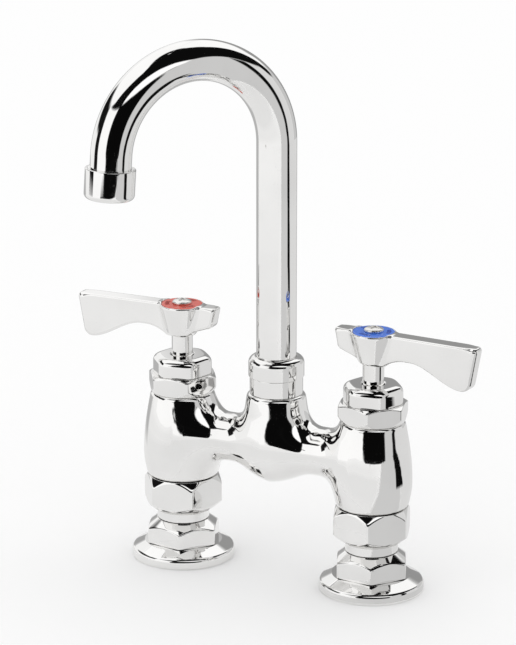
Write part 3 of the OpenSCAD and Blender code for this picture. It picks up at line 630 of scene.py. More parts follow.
def tick_rule() -> Rule:
    """Rule that lays short bars on a circle in even groups, each pointing away from the middle."""
    rule = Rule(
        "ticks_round_a_circle", Count=48, Groups=3.0, Filled=0.4, Radius=0.007, Size=(0.002, 0.0005, 0.0004),
        Finish=None,
    )
    tree = rule.tree
    circle = tree.add("GeometryNodeMeshCircle", {"Vertices": rule.given["Count"], "Radius": rule.given["Radius"]})
    bar = tree.add("GeometryNodeMeshCube", {"Size": rule.given["Size"]})
    place = tree.add("GeometryNodeInputPosition").outputs[0]
    out = tree.add("FunctionNodeAlignRotationToVector", {"Vector": place}, axis="X")
    parts = tree.add("ShaderNodeSeparateXYZ", {0: place}).outputs
    turn = tree.maths("ADD", tree.maths("DIVIDE", tree.maths("ARCTAN2", parts[1], parts[0]), 2 * math.pi), 1)
    phase = tree.maths("FRACT", tree.maths("MULTIPLY", turn, rule.given["Groups"]))
    chosen = tree.maths("LESS_THAN", phase, rule.given["Filled"])
    placed = tree.add(
        "GeometryNodeInstanceOnPoints",
        {"Points": circle.outputs[0], "Selection": chosen, "Instance": bar.outputs[0], "Rotation": out.outputs[0]},
    )
    rule.close(placed.outputs[0])
    return rule


# Finishes


def shader_group(name: str, outputs: Sequence[str], **inputs: float) -> tuple[Tree, bpy.types.NodeInputs]:
    """Starts a shader node group with named inputs and outputs.

    Args:
        name: The group's name.
        outputs: Names of the values that it puts out.
        inputs: Default of each input.

    Returns:
        The tree and the sockets of its inputs.
    """
    group = bpy.data.node_groups.new(name, "ShaderNodeTree")
    for key, value in inputs.items():
        group.interface.new_socket(key, in_out="INPUT", socket_type="NodeSocketFloat").default_value = value
    for key in outputs:
        group.interface.new_socket(key, in_out="OUTPUT", socket_type="NodeSocketFloat")
    tree = Tree(group)
    return tree, tree.add("NodeGroupInput").outputs


def noise(tree: Tree, vector: Any, scale: Any, detail: float = 2) -> bpy.types.NodeSocket:
    """Value of a noise texture with that many features per metre and octaves beyond the first."""
    return tree.add("ShaderNodeTexNoise", {"Vector": vector, "Scale": scale, "Detail": detail}).outputs[0]


def polish_group() -> bpy.types.NodeTree:
    """Group for polished metal: soft waves left by polishing, smudges and hairline marks."""
    tree, given = shader_group("polish", ("Waves", "Smudges", "Hairlines"), Waves=120.0, Smudges=45.0, Hairlines=900.0)
    place = tree.add("ShaderNodeTexCoord").outputs["Object"]
    waves = noise(tree, place, given["Waves"], 1)
    smudges = tree.spread(noise(tree, place, given["Smudges"], 4), 0.42, 0.7, 0, 1)
    stretched = tree.add("ShaderNodeMapping", {"Vector": place, "Rotation": (0.3, 0.5, 0.2), "Scale": (1, 0.05, 1)})
    crossed = tree.add("ShaderNodeMapping", {"Vector": place, "Rotation": (0.9, 0.1, 1.2), "Scale": (1, 1, 0.04)})
    lines = tree.maths(
        "MAXIMUM",
        tree.spread(noise(tree, stretched.outputs[0], given["Hairlines"], 1), 0.66, 0.74, 0, 1),
        tree.spread(noise(tree, crossed.outputs[0], given["Hairlines"], 1), 0.68, 0.75, 0, 1),
    )
    tree.add("NodeGroupOutput", {0: waves, 1: smudges, 2: lines})
    return tree.tree


def turned_group() -> bpy.types.NodeTree:
    """Group for machined metal: fine rings round the tap's upright axis, and stains."""
    tree, given = shader_group("turned", ("Rings", "Stains"), Rings=4000.0)
    place = tree.add("ShaderNodeTexCoord").outputs["Object"]
    parts = tree.add("ShaderNodeSeparateXYZ", {0: place}).outputs
    radius = tree.maths("SQRT", tree.maths("ADD", tree.maths("POWER", parts[0], 2), tree.maths("POWER", parts[1], 2)))
    rows = tree.add("ShaderNodeCombineXYZ", {0: radius, 1: parts[2]}).outputs[0]
    rings = noise(tree, rows, given["Rings"], 2)
    stains = tree.spread(noise(tree, place, 90.0, 4), 0.35, 0.75, 0, 1)
    tree.add("NodeGroupOutput", {0: rings, 1: stains})
    return tree.tree


def grain_group() -> bpy.types.NodeTree:
    """Group for moulded and pressed stuff: a fine grain and a slow mottle."""
    tree, given = shader_group("grain", ("Grain", "Mottle"), Grain=2500.0, Mottle=160.0)
    place = tree.add("ShaderNodeTexCoord").outputs["Object"]
    tree.add(
        "NodeGroupOutput", {0: noise(tree, place, given["Grain"], 3), 1: noise(tree, place, given["Mottle"], 3)}
    )
    return tree.tree


GROUP_MAKERS = {"polish": polish_group, "turned": turned_group, "grain": grain_group}


@dataclass(frozen=True)
class Finish:
    """A finish of one of the record's material slots.

    Attributes:
        name: The material's name.
        slot: The record's slot; not used.
        colour: Base colour, linear.
    """

    name: str
    slot: str
    colour: Colour

    def material(self) -> bpy.types.Material:
        """The finish's material, made on first use."""
        made = bpy.data.materials.get(self.name)
        if made is None:
            made = bpy.data.materials.new(self.name)
            tree = blank(made)
            shader = tree.add("ShaderNodeBsdfPrincipled")
            tree.add("ShaderNodeOutputMaterial", {0: shader.outputs[0]})
            self.dress(tree, shader)
        return made

    def dress(self, tree: Tree, shader: bpy.types.Node) -> None:
        """Feeds the shader; each kind of finish has its own way.

        Args:
            tree: The material's tree.
            shader: Its shader.
        """
        raise NotImplementedError

    def group(self, tree: Tree, name: str, **values: float) -> bpy.types.NodeOutputs:
        """Places one of the shared groups in the material and gives the sockets of its outputs."""
        shared = bpy.data.node_groups.get(name) or GROUP_MAKERS[name]()
        return tree.add("ShaderNodeGroup", values, node_tree=shared).outputs

    def tinted(self, tree: Tree, mask: Any, other: Colour) -> bpy.types.NodeSocket:
        """Mixes the finish's colour with another by a mask.

        Args:
            tree: The material's tree.
            mask: Value from 0, the finish's colour, to 1, the other.
            other: The other colour, linear.

        Returns:
            The mixed colour.
        """
        mix = tree.add("ShaderNodeMix", {0: mask}, data_type="RGBA")
        mix.inputs[6].default_value = (*self.colour, 1)
        mix.inputs[7].default_value = (*other, 1)
        return mix.outputs[2]

    def feed(self, tree: Tree, shader: bpy.types.Node, colour: Any, roughness: Any, height: Any, depth: float) -> None:
        """Links a colour, a roughness and a relief to the shader.

        Args:
            tree: The material's tree.
            shader: Its shader.
            colour: Socket of the base colour.
            roughness: Socket of the roughness.
            height: Socket of the relief's height, from 0 to 1.
            depth: What a height of 1 stands for, in metres.
        """
        bump = tree.add("ShaderNodeBump", {"Height": height, "Distance": depth, "Strength": 1.0})
        for name, value in (("Base Color", colour), ("Roughness", roughness), ("Normal", bump.outputs[0])):
            tree.tree.links.new(value, shader.inputs[name])


@dataclass(frozen=True)
class Chrome(Finish):
    """Polished chrome plate.

    Attributes:
        waves: Height of the soft waves that polishing leaves, in metres.
        wave_scale: Waves per metre.
        roughness: Roughness of clean plate.
        smudged: Roughness that smudges add.
        scratched: Roughness that hairlines add.
        dimmed: Share of the colour that is left under a smudge.
    """

    waves: float = 4e-6
    wave_scale: float = 120.0
    roughness: float = 0.025
    smudged: float = 0.02
    scratched: float = 0.05
    dimmed: float = 0.955

    def dress(self, tree: Tree, shader: bpy.types.Node) -> None:
        """Feeds the shader with a mirror plate that has waves, smudges and hairlines."""
        parts = self.group(tree, "polish", Waves=self.wave_scale)
        shader.inputs["Metallic"].default_value = 1.0
        smudges = tree.maths("MULTIPLY", parts["Smudges"], self.smudged)
        dull = tree.maths("ADD", smudges, tree.maths("MULTIPLY", parts["Hairlines"], self.scratched))
        colour = self.tinted(tree, parts["Smudges"], tuple(self.dimmed * c for c in self.colour))
        self.feed(tree, shader, colour, tree.maths("ADD", dull, self.roughness), parts["Waves"], self.waves)


@dataclass(frozen=True)
class Machined(Finish):
    """Bare metal from the lathe.

    Attributes:
        stain: Colour of its stains, linear.
        roughness: Roughness between the rings.
        stained: Weight of the stains.
        rings: Height of the rings, in metres.
    """

    stain: Colour = (0.3, 0.2, 0.1)
    roughness: float = 0.28
    stained: float = 0.35
    rings: float = 8e-6

    def dress(self, tree: Tree, shader: bpy.types.Node) -> None:
        """Feeds the shader with metal that has turned rings and stains."""
        parts = self.group(tree, "turned")
        shader.inputs["Metallic"].default_value = 1.0
        colour = self.tinted(tree, tree.maths("MULTIPLY", parts["Stains"], self.stained), self.stain)
        roughness = tree.spread(parts["Rings"], 0.3, 0.7, self.roughness * 0.7, self.roughness * 1.4)
        self.feed(tree, shader, colour, roughness, parts["Rings"], self.rings)


@dataclass(frozen=True)
class Moulded(Finish):
    """Moulded, pressed or fired stuff.

    Attributes:
        mottle: The colour that the mottle goes to, linear.
        roughness: Mean roughness.
        grain: Height of the grain, in metres.
        coat: Weight of a clear gloss on it.
        coat_roughness: Roughness of that gloss.
        mottled: Largest weight of the mottle.
    """

    mottle: Colour = (0.1, 0.1, 0.1)
    roughness: float = 0.5
    grain: float = 2e-5
    coat: float = 0.0
    coat_roughness: float = 0.08
    mottled: float = 0.6

    def dress(self, tree: Tree, shader: bpy.types.Node) -> None:
        """Feeds the shader with a coloured body that has a grain and a mottle."""
        parts = self.group(tree, "grain")
        shader.inputs["Coat Weight"].default_value = self.coat
        shader.inputs["Coat Roughness"].default_value = self.coat_roughness
        colour = self.tinted(tree, tree.spread(parts["Mottle"], 0.35, 0.7, 0, self.mottled), self.mottle)
        roughness = tree.spread(parts["Grain"], 0.25, 0.75, self.roughness * 0.8, self.roughness * 1.2)
        self.feed(tree, shader, colour, roughness, parts["Grain"], self.grain)


PLATE: Colour = (0.88, 0.875, 0.865)
CAST_CHROME = Chrome("chrome_on_casting", "chrome_plate", PLATE, waves=9e-6, wave_scale=70.0)
TUBE_CHROME = Chrome("chrome_on_tube", "chrome_plate", PLATE, waves=2e-6, wave_scale=60.0)
TURNED_CHROME = Chrome("chrome_on_turned_brass", "chrome_plate", PLATE, waves=3e-6, wave_scale=150.0)
LEVER_CHROME = Chrome("chrome_on_lever", "chrome_plate", PLATE, waves=6e-6, wave_scale=60.0, roughness=0.035)
BRASS = Machined("bare_brass_turned", "bare_brass", (0.62, 0.42, 0.16), stain=(0.3, 0.17, 0.06))
STEEL = Machined("stainless_turned", "stainless_steel", (0.6, 0.59, 0.57), stain=(0.42, 0.41, 0.4), roughness=0.2)
SCREW_STEEL = Machined(
    "stainless_screw", "stainless_steel", (0.85, 0.84, 0.82), stain=(0.6, 0.58, 0.54), roughness=0.24
)
RUBBER = Moulded("black_rubber", "rubber", (0.025, 0.025, 0.026), (0.045, 0.045, 0.045), 0.55, 1.5e-5)
FIBRE = Moulded("pressed_fibre", "fibre", (0.3, 0.06, 0.035), (0.2, 0.035, 0.02), 0.75, 4e-5)
WHITE_PLASTIC = Moulded("white_plastic", "white_plastic", (0.78, 0.78, 0.75), (0.7, 0.7, 0.66), 0.35, 6e-6)
CERAMIC = Moulded("lapped_ceramic", "ceramic_disc", (0.8, 0.77, 0.68), (0.72, 0.69, 0.6), 0.2, 3e-6)
RED = Moulded("red_enamel", "red_plastic", (0.74, 0.085, 0.05), (0.64, 0.06, 0.035), 0.3, 5e-6, 0.15)
BLUE = Moulded("blue_enamel", "blue_plastic", (0.045, 0.19, 0.8), (0.03, 0.15, 0.7), 0.3, 5e-6, 0.15)
RED_MARK = Moulded("dark_red_mark", "red_plastic", (0.34, 0.012, 0.008), (0.26, 0.01, 0.006), 0.4, 5e-6)
BLUE_MARK = Moulded("dark_blue_mark", "blue_plastic", (0.008, 0.04, 0.36), (0.005, 0.03, 0.28), 0.4, 5e-6)


def coat_nodes(finish: Finish, *names: str) -> None:
    """Gives solids that stay as they are their finish.

    Args:
        finish: The finish.
        names: The solids' names.
    """
    for name in names:
        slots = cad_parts[name].data.materials
        slots.clear()
        slots.append(finish.material())
        LOG.info("%s: %s", name, finish.name)


# Sub-assemblies


@dataclass
class Bridge:
    """The body casting: two barrels, the bridge between them and the spout's boss.

    Attributes:
        foot_z: Height of the barrels' feet.
        foot_r: Radius of a barrel's foot.
        belly_r: Radius of its belly.
        belly_h: Height of the belly above the foot.
        top_z: Height of the barrels' tops.
        top_r: Radius of a barrel's top.
        spigot_z: Height of the threaded spigot's end.
        spigot_r: Radius of the threaded spigot.
        spigot_lap: Length of the spigot inside the barrel.
        arm_z: Height of the bridge's axis.
        arm_r: Radius of the bridge at its waist.
        flare: Flare of an arm at the barrel and at the boss.
        flare_l: Length of those flares.
        arm_end: Distance from the middle at which an arm's flare ends inside its barrel.
        arm_lap: Length of the arm beyond that.
        boss_z: Height of the boss's top.
        boss_r: Radius of the boss's top.
        boss_swell_r: Radius of the boss at the bridge's axis.
        boss_drop: Drop of its round bottom below that axis.
        way_r: Radius of the waterways.
        inlet_z: Height at which an inlet's waterway ends.
        chamber: Radius and lowest height of a valve's chamber.
        recess: Radius and lowest height of the recess for a bonnet's gasket.
        rise_z: Height at which the spout's waterway ends.
        socket: Radius and lowest height of the swivel collar's socket.
        fillet: Width of the fillets at the barrels and at the boss.
        rim: Width of the round on the edges of the barrels and the boss.
        bore_edge: Width of the round on the edges of the bores.
        room: Half depth of the space that is meshed, and what it has beyond each barrel's axis.
        gap: What that space has below the spigots and above the boss.
        step: Pitch of the mesh.
    """

    foot_z: float = 41.6
    foot_r: float = 17.1
    belly_r: float = 18.9
    belly_h: float = 12.0
    top_z: float = 84.0
    top_r: float = 15.15
    spigot_z: float = 30.6
    spigot_r: float = 13.95
    spigot_lap: float = 4.0
    arm_z: float = 64.0
    arm_r: float = 11.7
    flare: tuple[float, float] = (3.7, 4.0)
    flare_l: tuple[float, float] = (14.0, 24.0)
    arm_end: float = 40.8
    arm_lap: float = 2.0
    boss_z: float = 90.0
    boss_r: float = 13.885
    boss_swell_r: float = 16.285
    boss_drop: float = 17.0
    way_r: float = 6.0
    inlet_z: float = 56.0
    chamber: tuple[float, float] = (11.55, 54.0)
    recess: tuple[float, float] = (13.25, 82.8)
    rise_z: float = 78.0
    socket: tuple[float, float] = (11.235, 76.0)
    fillet: tuple[float, float] = (8.0, 8.0)
    rim: float = 2.2
    bore_edge: float = 0.5
    room: float = 20.0
    gap: float = 1.3
    step: float = 0.66

    def barrel(self, rho: Array, z: Array) -> Array:
        """Distance to a barrel.

        Args:
            rho: Distance from the barrel's axis.
            z: Height.

        Returns:
            The distance.
        """
        neck_h = self.top_z - self.foot_z - self.belly_h
        low = np.clip((z - self.foot_z) / self.belly_h, 0, 1)
        high = np.clip((z - self.foot_z - self.belly_h) / neck_h, 0, 1)
        radius = np.where(
            high > 0,
            self.top_r + (self.belly_r - self.top_r) * np.cos(high * math.pi / 2),
            self.foot_r + (self.belly_r - self.foot_r) * np.sin(low * math.pi / 2),
        )
        ends = np.maximum(self.foot_z - z, z - self.top_z)
        spigot_ends = np.maximum(self.spigot_z - z, z - self.foot_z - self.spigot_lap)
        return np.minimum(soft_max(rho - radius, ends, self.rim), np.maximum(rho - self.spigot_r, spigot_ends))

    def arms(self, x: Array, reach: Array) -> Array:
        """Distance to the bridge's two arms.

        Args:
            x: Distance from the middle along the bridge.
            reach: Distance from the bridge's axis.

        Returns:
            The distance.
        """
        s = np.maximum(0, (x - self.arm_end + self.flare_l[0]) / self.flare_l[0])
        t = np.maximum(0, (self.flare_l[1] - x) / self.flare_l[1])
        radius = self.arm_r + self.flare[0] * np.minimum(s, 1) ** 2 + self.flare[1] * t**2
        return np.maximum(reach - radius, x - self.arm_end - self.arm_lap)

    def boss(self, rho: Array, z: Array) -> Array:
        """Distance to the spout's boss.

        Args:
            rho: Distance from the boss's axis.
            z: Height.

        Returns:
            The distance.
        """
        rise = np.clip((z - self.arm_z) / (self.boss_z - self.arm_z), 0, 1)
        upper = rho - self.boss_r - (self.boss_swell_r - self.boss_r) * np.cos(rise * math.pi / 2)
        lower = ellipse_distance(rho, z - self.arm_z, self.boss_swell_r, self.boss_drop)
        return soft_max(np.where(z > self.arm_z, upper, lower), z - self.boss_z, self.rim)

    def bores(self, x: Array, y: Array, z: Array) -> Array:
        """Distance to the waterways and to the rooms for valves and spout.

        Args:
            x: Place along the bridge.
            y: Place across it.
            z: Height.

        Returns:
            The distance.
        """
        rho = np.hypot(np.abs(x) - HALF_CENTRES, y)
        middle = np.hypot(x, y)
        across = np.maximum(np.hypot(y, z - self.arm_z) - self.way_r, np.abs(x) - HALF_CENTRES)
        rise = np.maximum(middle - self.way_r, np.maximum(self.arm_z - z, z - self.rise_z))
        rooms = [
            np.maximum(away - r, low - z)
            for away, (r, low) in ((rho, self.chamber), (rho, self.recess), (middle, self.socket))
        ]
        return np.minimum.reduce([np.maximum(rho - self.way_r, z - self.inlet_z), across, rise, *rooms])

    def distance(self, points: Array) -> Array:
        """Distance to the casting from each point."""
        x, y, z = points.T
        barrel = self.barrel(np.hypot(np.abs(x) - HALF_CENTRES, y), z)
        boss = self.boss(np.hypot(x, y), z)
        arms = self.arms(np.abs(x), np.hypot(y, z - self.arm_z))
        outside = soft_min(soft_min(arms, boss, self.fillet[1]), barrel, self.fillet[0])
        return soft_max(outside, -self.bores(x, y, z), self.bore_edge)

    def build(self) -> None:
        """Builds and dresses the casting."""
        low = (-HALF_CENTRES - self.room, -self.room, self.spigot_z - self.gap)
        high = (HALF_CENTRES + self.room, self.room, self.boss_z + self.gap)
        casting = skin(self.distance, low, high, pitch(self.step))
        casting.piece("bridge_body", Body.BASE, CAST_CHROME, "body_casting")


@dataclass
class Nut:
    """A hexagonal nut with chamfered ends.

    Attributes:
        flat_r: Distance from the axis to a flat.
        z: Height of its lower face.
        h: Its height.
        low: Radius of the lower face and height of the chamfer above it.
        top: Radius of the upper face and height of the chamfer below it.
        bore: Corners of its hole, from the top to the bottom.
        edge: Rounding of the edges between chamfers and faces.
        row: Longest step of the mesh on its outside.
        segments: Sides of the mesh round the axis.
    """

    flat_r: float
    z: float
    h: float
    low: tuple[float, float]
    top: tuple[float, float]
    bore: list[Corner]
    edge: float = 0.25
    row: float = 0.45
    segments: int = 360

    def shell(self, yaw: float) -> Shell:
        """The nut's mesh round the Z axis.

        Args:
            yaw: Angle of a corner, in degrees.

        Returns:
            The mesh.
        """
        corner_r = self.flat_r / math.cos(math.pi / 6) + 0.05
        top_z = self.z + self.h
        outside = [
            (self.low[0], self.z, self.edge), (corner_r, self.z + self.low[1], CRISP),
            (corner_r, top_z - self.top[1], CRISP), (self.top[0], top_z, self.edge),
        ]
        bore_r = max(corner[0] for corner in self.bore)
        section = rounded([*outside, *self.bore], longest=self.row, steps=4, inner=bore_r + 0.01)
        return hexagonal(lathe(section, self.segments), self.flat_r, yaw)


@dataclass
class Fitting:
    """Pieces that stand on the axis of one side.

    Attributes:
        side: The side that they are on.
    """

    side: Side

    def put(self, shell: Shell, part: str, finish: Finish, body: Body = Body.BASE) -> None:
        """Places a mesh on the side's axis as the piece that stands for a solid.

        Args:
            shell: The mesh round the Z axis.
            part: Last words of the solid's name.
            finish: The piece's finish.
            body: The body that it moves with.
        """
        node = f"{self.side.label}_{part}"
        shell.placed(Matrix.Translation((self.side.x, 0, 0))).piece(f"{node}_skin", body, finish, node)

    def coat(self, finish: Finish, *parts: str) -> None:
        """Gives solids of the side that stay as they are their finish."""
        coat_nodes(finish, *(f"{self.side.label}_{part}" for part in parts))


@dataclass
class Inlet(Fitting):
    """One inlet: flange, nuts and shank, with the deck fixing below.

    Attributes:
        flange_nut_yaw: Corner angles of the hot and the cold flange nut.
        coupling_yaw: Corner angles of the hot and the cold coupling nut.
        flange_r: Radius of the deck flange.
        flange_rim_h: Height of its upright rim.
        flange_top_r: Radius of its flat top.
        flange_h: Its height.
        flange_round: Rounding between its rim and its slope.
        recess_r: Radius of the gasket's recess below it.
        recess_h: Height of that recess.
        hole_r: Radius of the holes in the flange and in the deck washer.
        flange_nut_r: Distance from the axis to a flat of the flange nut.
        flange_nut_h: Its height.
        flange_nut_cone: Radius of its top and height of the cone below it.
        nut_bore_r: Radius of the holes of the flange nut and the locknut.
        coupling_r: Distance from the axis to a flat of the coupling nut.
        coupling_z: Height of its lower face.
        coupling_h: Its height.
        coupling_low: Radius of its lower face and height of the chamfer above it.
        coupling_top: Radius of its upper face and height of the chamfer below it.
        coupling_bore_r: Radius of its threaded hole.
        coupling_neck_r: Radius of its hole round the shank's collar.
        shank_z: Height of the shank's lower end.
        bore_r: Radius of the shank's bore.
        tail_r: Radius over the supply thread.
        tail_z: Height of that thread's end.
        shank_r: Radius over the mounting thread.
        collar_z: Height of the collar's foot.
        collar_r: Radius of the collar.
        head_z: Height of the head's lower face.
        head_r: Radius of the head.
        head_t: Thickness of the head.
        threads: Lowest and highest point of the supply thread and of the mounting thread.
        pitch: Pitch of both threads.
        thread_h: Depth of both threads.
        core_r: Radius beyond which the threads are cut.
        deck_t: Thickness of the deck.
        washer_r: Radius of the deck washer.
        washer_t: Its thickness.
        locknut_r: Distance from the axis to a flat of the deck locknut.
        locknut_h: Its height.
        locknut_chamfer: Height of its chamfers.
        row: Height of a row of the threaded mesh.
        segments: Sides of the threaded mesh round the axis.
    """

    flange_nut_yaw: tuple[float, float] = (51.9, 55.5)
    coupling_yaw: tuple[float, float] = (10.6, 49.5)
    flange_r: float = 24.98
    flange_rim_h: float = 4.62
    flange_top_r: float = 18.88
    flange_h: float = 7.7
    flange_round: float = 2.3
    recess_r: float = 21.58
    recess_h: float = 3.0
    hole_r: float = 11.6
    flange_nut_r: float = 16.35
    flange_nut_h: float = 11.6
    flange_nut_cone: tuple[float, float] = (12.9, 4.5)
    nut_bore_r: float = 11.25
    coupling_r: float = 17.3
    coupling_z: float = 24.2
    coupling_h: float = 17.4
    coupling_low: tuple[float, float] = (14.0, 5.0)
    coupling_top: tuple[float, float] = (17.1, 4.1)
    coupling_bore_r: float = 14.0
    coupling_neck_r: float = 12.7
    shank_z: float = -52.5
    bore_r: float = 6.5
    tail_r: float = 10.475
    tail_z: float = -30.5
    shank_r: float = 11.2
    collar_z: float = 19.5
    collar_r: float = 12.6
    head_z: float = 26.8
    head_r: float = 13.9
    head_t: float = 2.5
    threads: tuple[tuple[float, float], ...] = ((-52.3, -31.0), (-30.4, 18.4))
    pitch: float = 1.814
    thread_h: float = 0.95
    core_r: float = 9.6
    deck_t: float = 20.0
    washer_r: float = 20.6
    washer_t: float = 2.5
    locknut_r: float = 15.85
    locknut_h: float = 8.0
    locknut_chamfer: float = 1.2
    row: float = 0.23
    segments: int = 120

    def flange(self) -> Shell:
        """The deck flange."""
        corners = [
            (self.hole_r, self.flange_h, FINE), (self.flange_top_r, self.flange_h, SOFT),
            (self.flange_r, self.flange_rim_h, self.flange_round), (self.flange_r, 0.0, 0.4),
            (self.recess_r, 0.0, FINE), (self.recess_r, self.recess_h, FINE), (self.hole_r, self.recess_h, FINE),
        ]
        return lathe(rounded(corners, longest=1.0, steps=14))

    def flange_nut(self) -> Shell:
        """The nut that holds the flange down."""
        top_z = self.flange_h + self.flange_nut_h
        nut = Nut(
            self.flange_nut_r, self.flange_h, self.flange_nut_h, (self.flange_nut_r, 0.4), self.flange_nut_cone,
            [(self.nut_bore_r, top_z, 0.5), (self.nut_bore_r, self.flange_h, SOFT)],
        )
        return nut.shell(self.side.pick(*self.flange_nut_yaw))

    def coupling_nut(self) -> Shell:
        """The nut that joins the shank to the body."""
        bore = [
            (self.coupling_bore_r, self.coupling_z + self.coupling_h, FINE),
            (self.coupling_bore_r, self.head_z, CRISP), (self.coupling_neck_r, self.head_z, CRISP),
            (self.coupling_neck_r, self.coupling_z, 0.4),
        ]
        nut = Nut(self.coupling_r, self.coupling_z, self.coupling_h, self.coupling_low, self.coupling_top, bore)
        return nut.shell(self.side.pick(*self.coupling_yaw))

    def shank(self, rule: Rule) -> Shell:
        """The inlet shank with its two threads.

        Args:
            rule: The rule that cuts a thread.

        Returns:
            The mesh.
        """
        top_z = self.head_z + self.head_t
        corners = [
            (self.bore_r, self.shank_z, SOFT), (self.tail_r, self.shank_z, 0.9), (self.tail_r, self.tail_z, CRISP),
            (self.shank_r, self.tail_z, SOFT), (self.shank_r, self.collar_z, CRISP),
            (self.collar_r, self.collar_z, EASED), (self.collar_r, self.head_z, CRISP),
            (self.head_r, self.head_z, FINE), (self.head_r, top_z, FINE), (self.bore_r, top_z, SOFT),
        ]
        bar = lathe(rounded(corners, longest=self.row, inner=self.bore_r + 0.5), self.segments)
        for low, high in self.threads:
            bar = rule.bake(
                carrier_of("shank", bar.points, faces=bar.faces), TURNED_CHROME, Pitch=self.pitch * MM,
                Depth=self.thread_h * MM, Core=self.core_r * MM, Low=low * MM, High=high * MM,
            )
        return bar

    def washer(self) -> Shell:
        """The washer under the deck."""
        top_z, low_z = -self.deck_t, -self.deck_t - self.washer_t
        corners = [
            (self.hole_r, low_z, SOFT), (self.washer_r, low_z, 0.5), (self.washer_r, top_z, 0.5),
            (self.hole_r, top_z, SOFT),
        ]
        return lathe(rounded(corners))

    def locknut(self) -> Shell:
        """The nut under the deck washer."""
        top_z = -self.deck_t - self.washer_t
        chamfer = (self.locknut_r, self.locknut_chamfer)
        bore = [(self.nut_bore_r, top_z, 0.6), (self.nut_bore_r, top_z - self.locknut_h, 0.6)]
        return Nut(self.locknut_r, top_z - self.locknut_h, self.locknut_h, chamfer, chamfer, bore).shell(0.0)

    def build(self, thread: Rule) -> None:
        """Builds and dresses the inlet.

        Args:
            thread: The rule that cuts a thread.
        """
        self.put(self.flange(), "deck_flange", TURNED_CHROME)
        self.put(self.flange_nut(), "flange_nut", TURNED_CHROME)
        self.put(self.coupling_nut(), "coupling_nut", TURNED_CHROME)
        self.put(self.shank(thread), "inlet_shank", TURNED_CHROME)
        self.put(self.washer(), "deck_washer", STEEL)
        self.put(self.locknut(), "deck_locknut", BRASS)
        self.coat(RUBBER, "flange_gasket")
        self.coat(FIBRE, "union_washer")


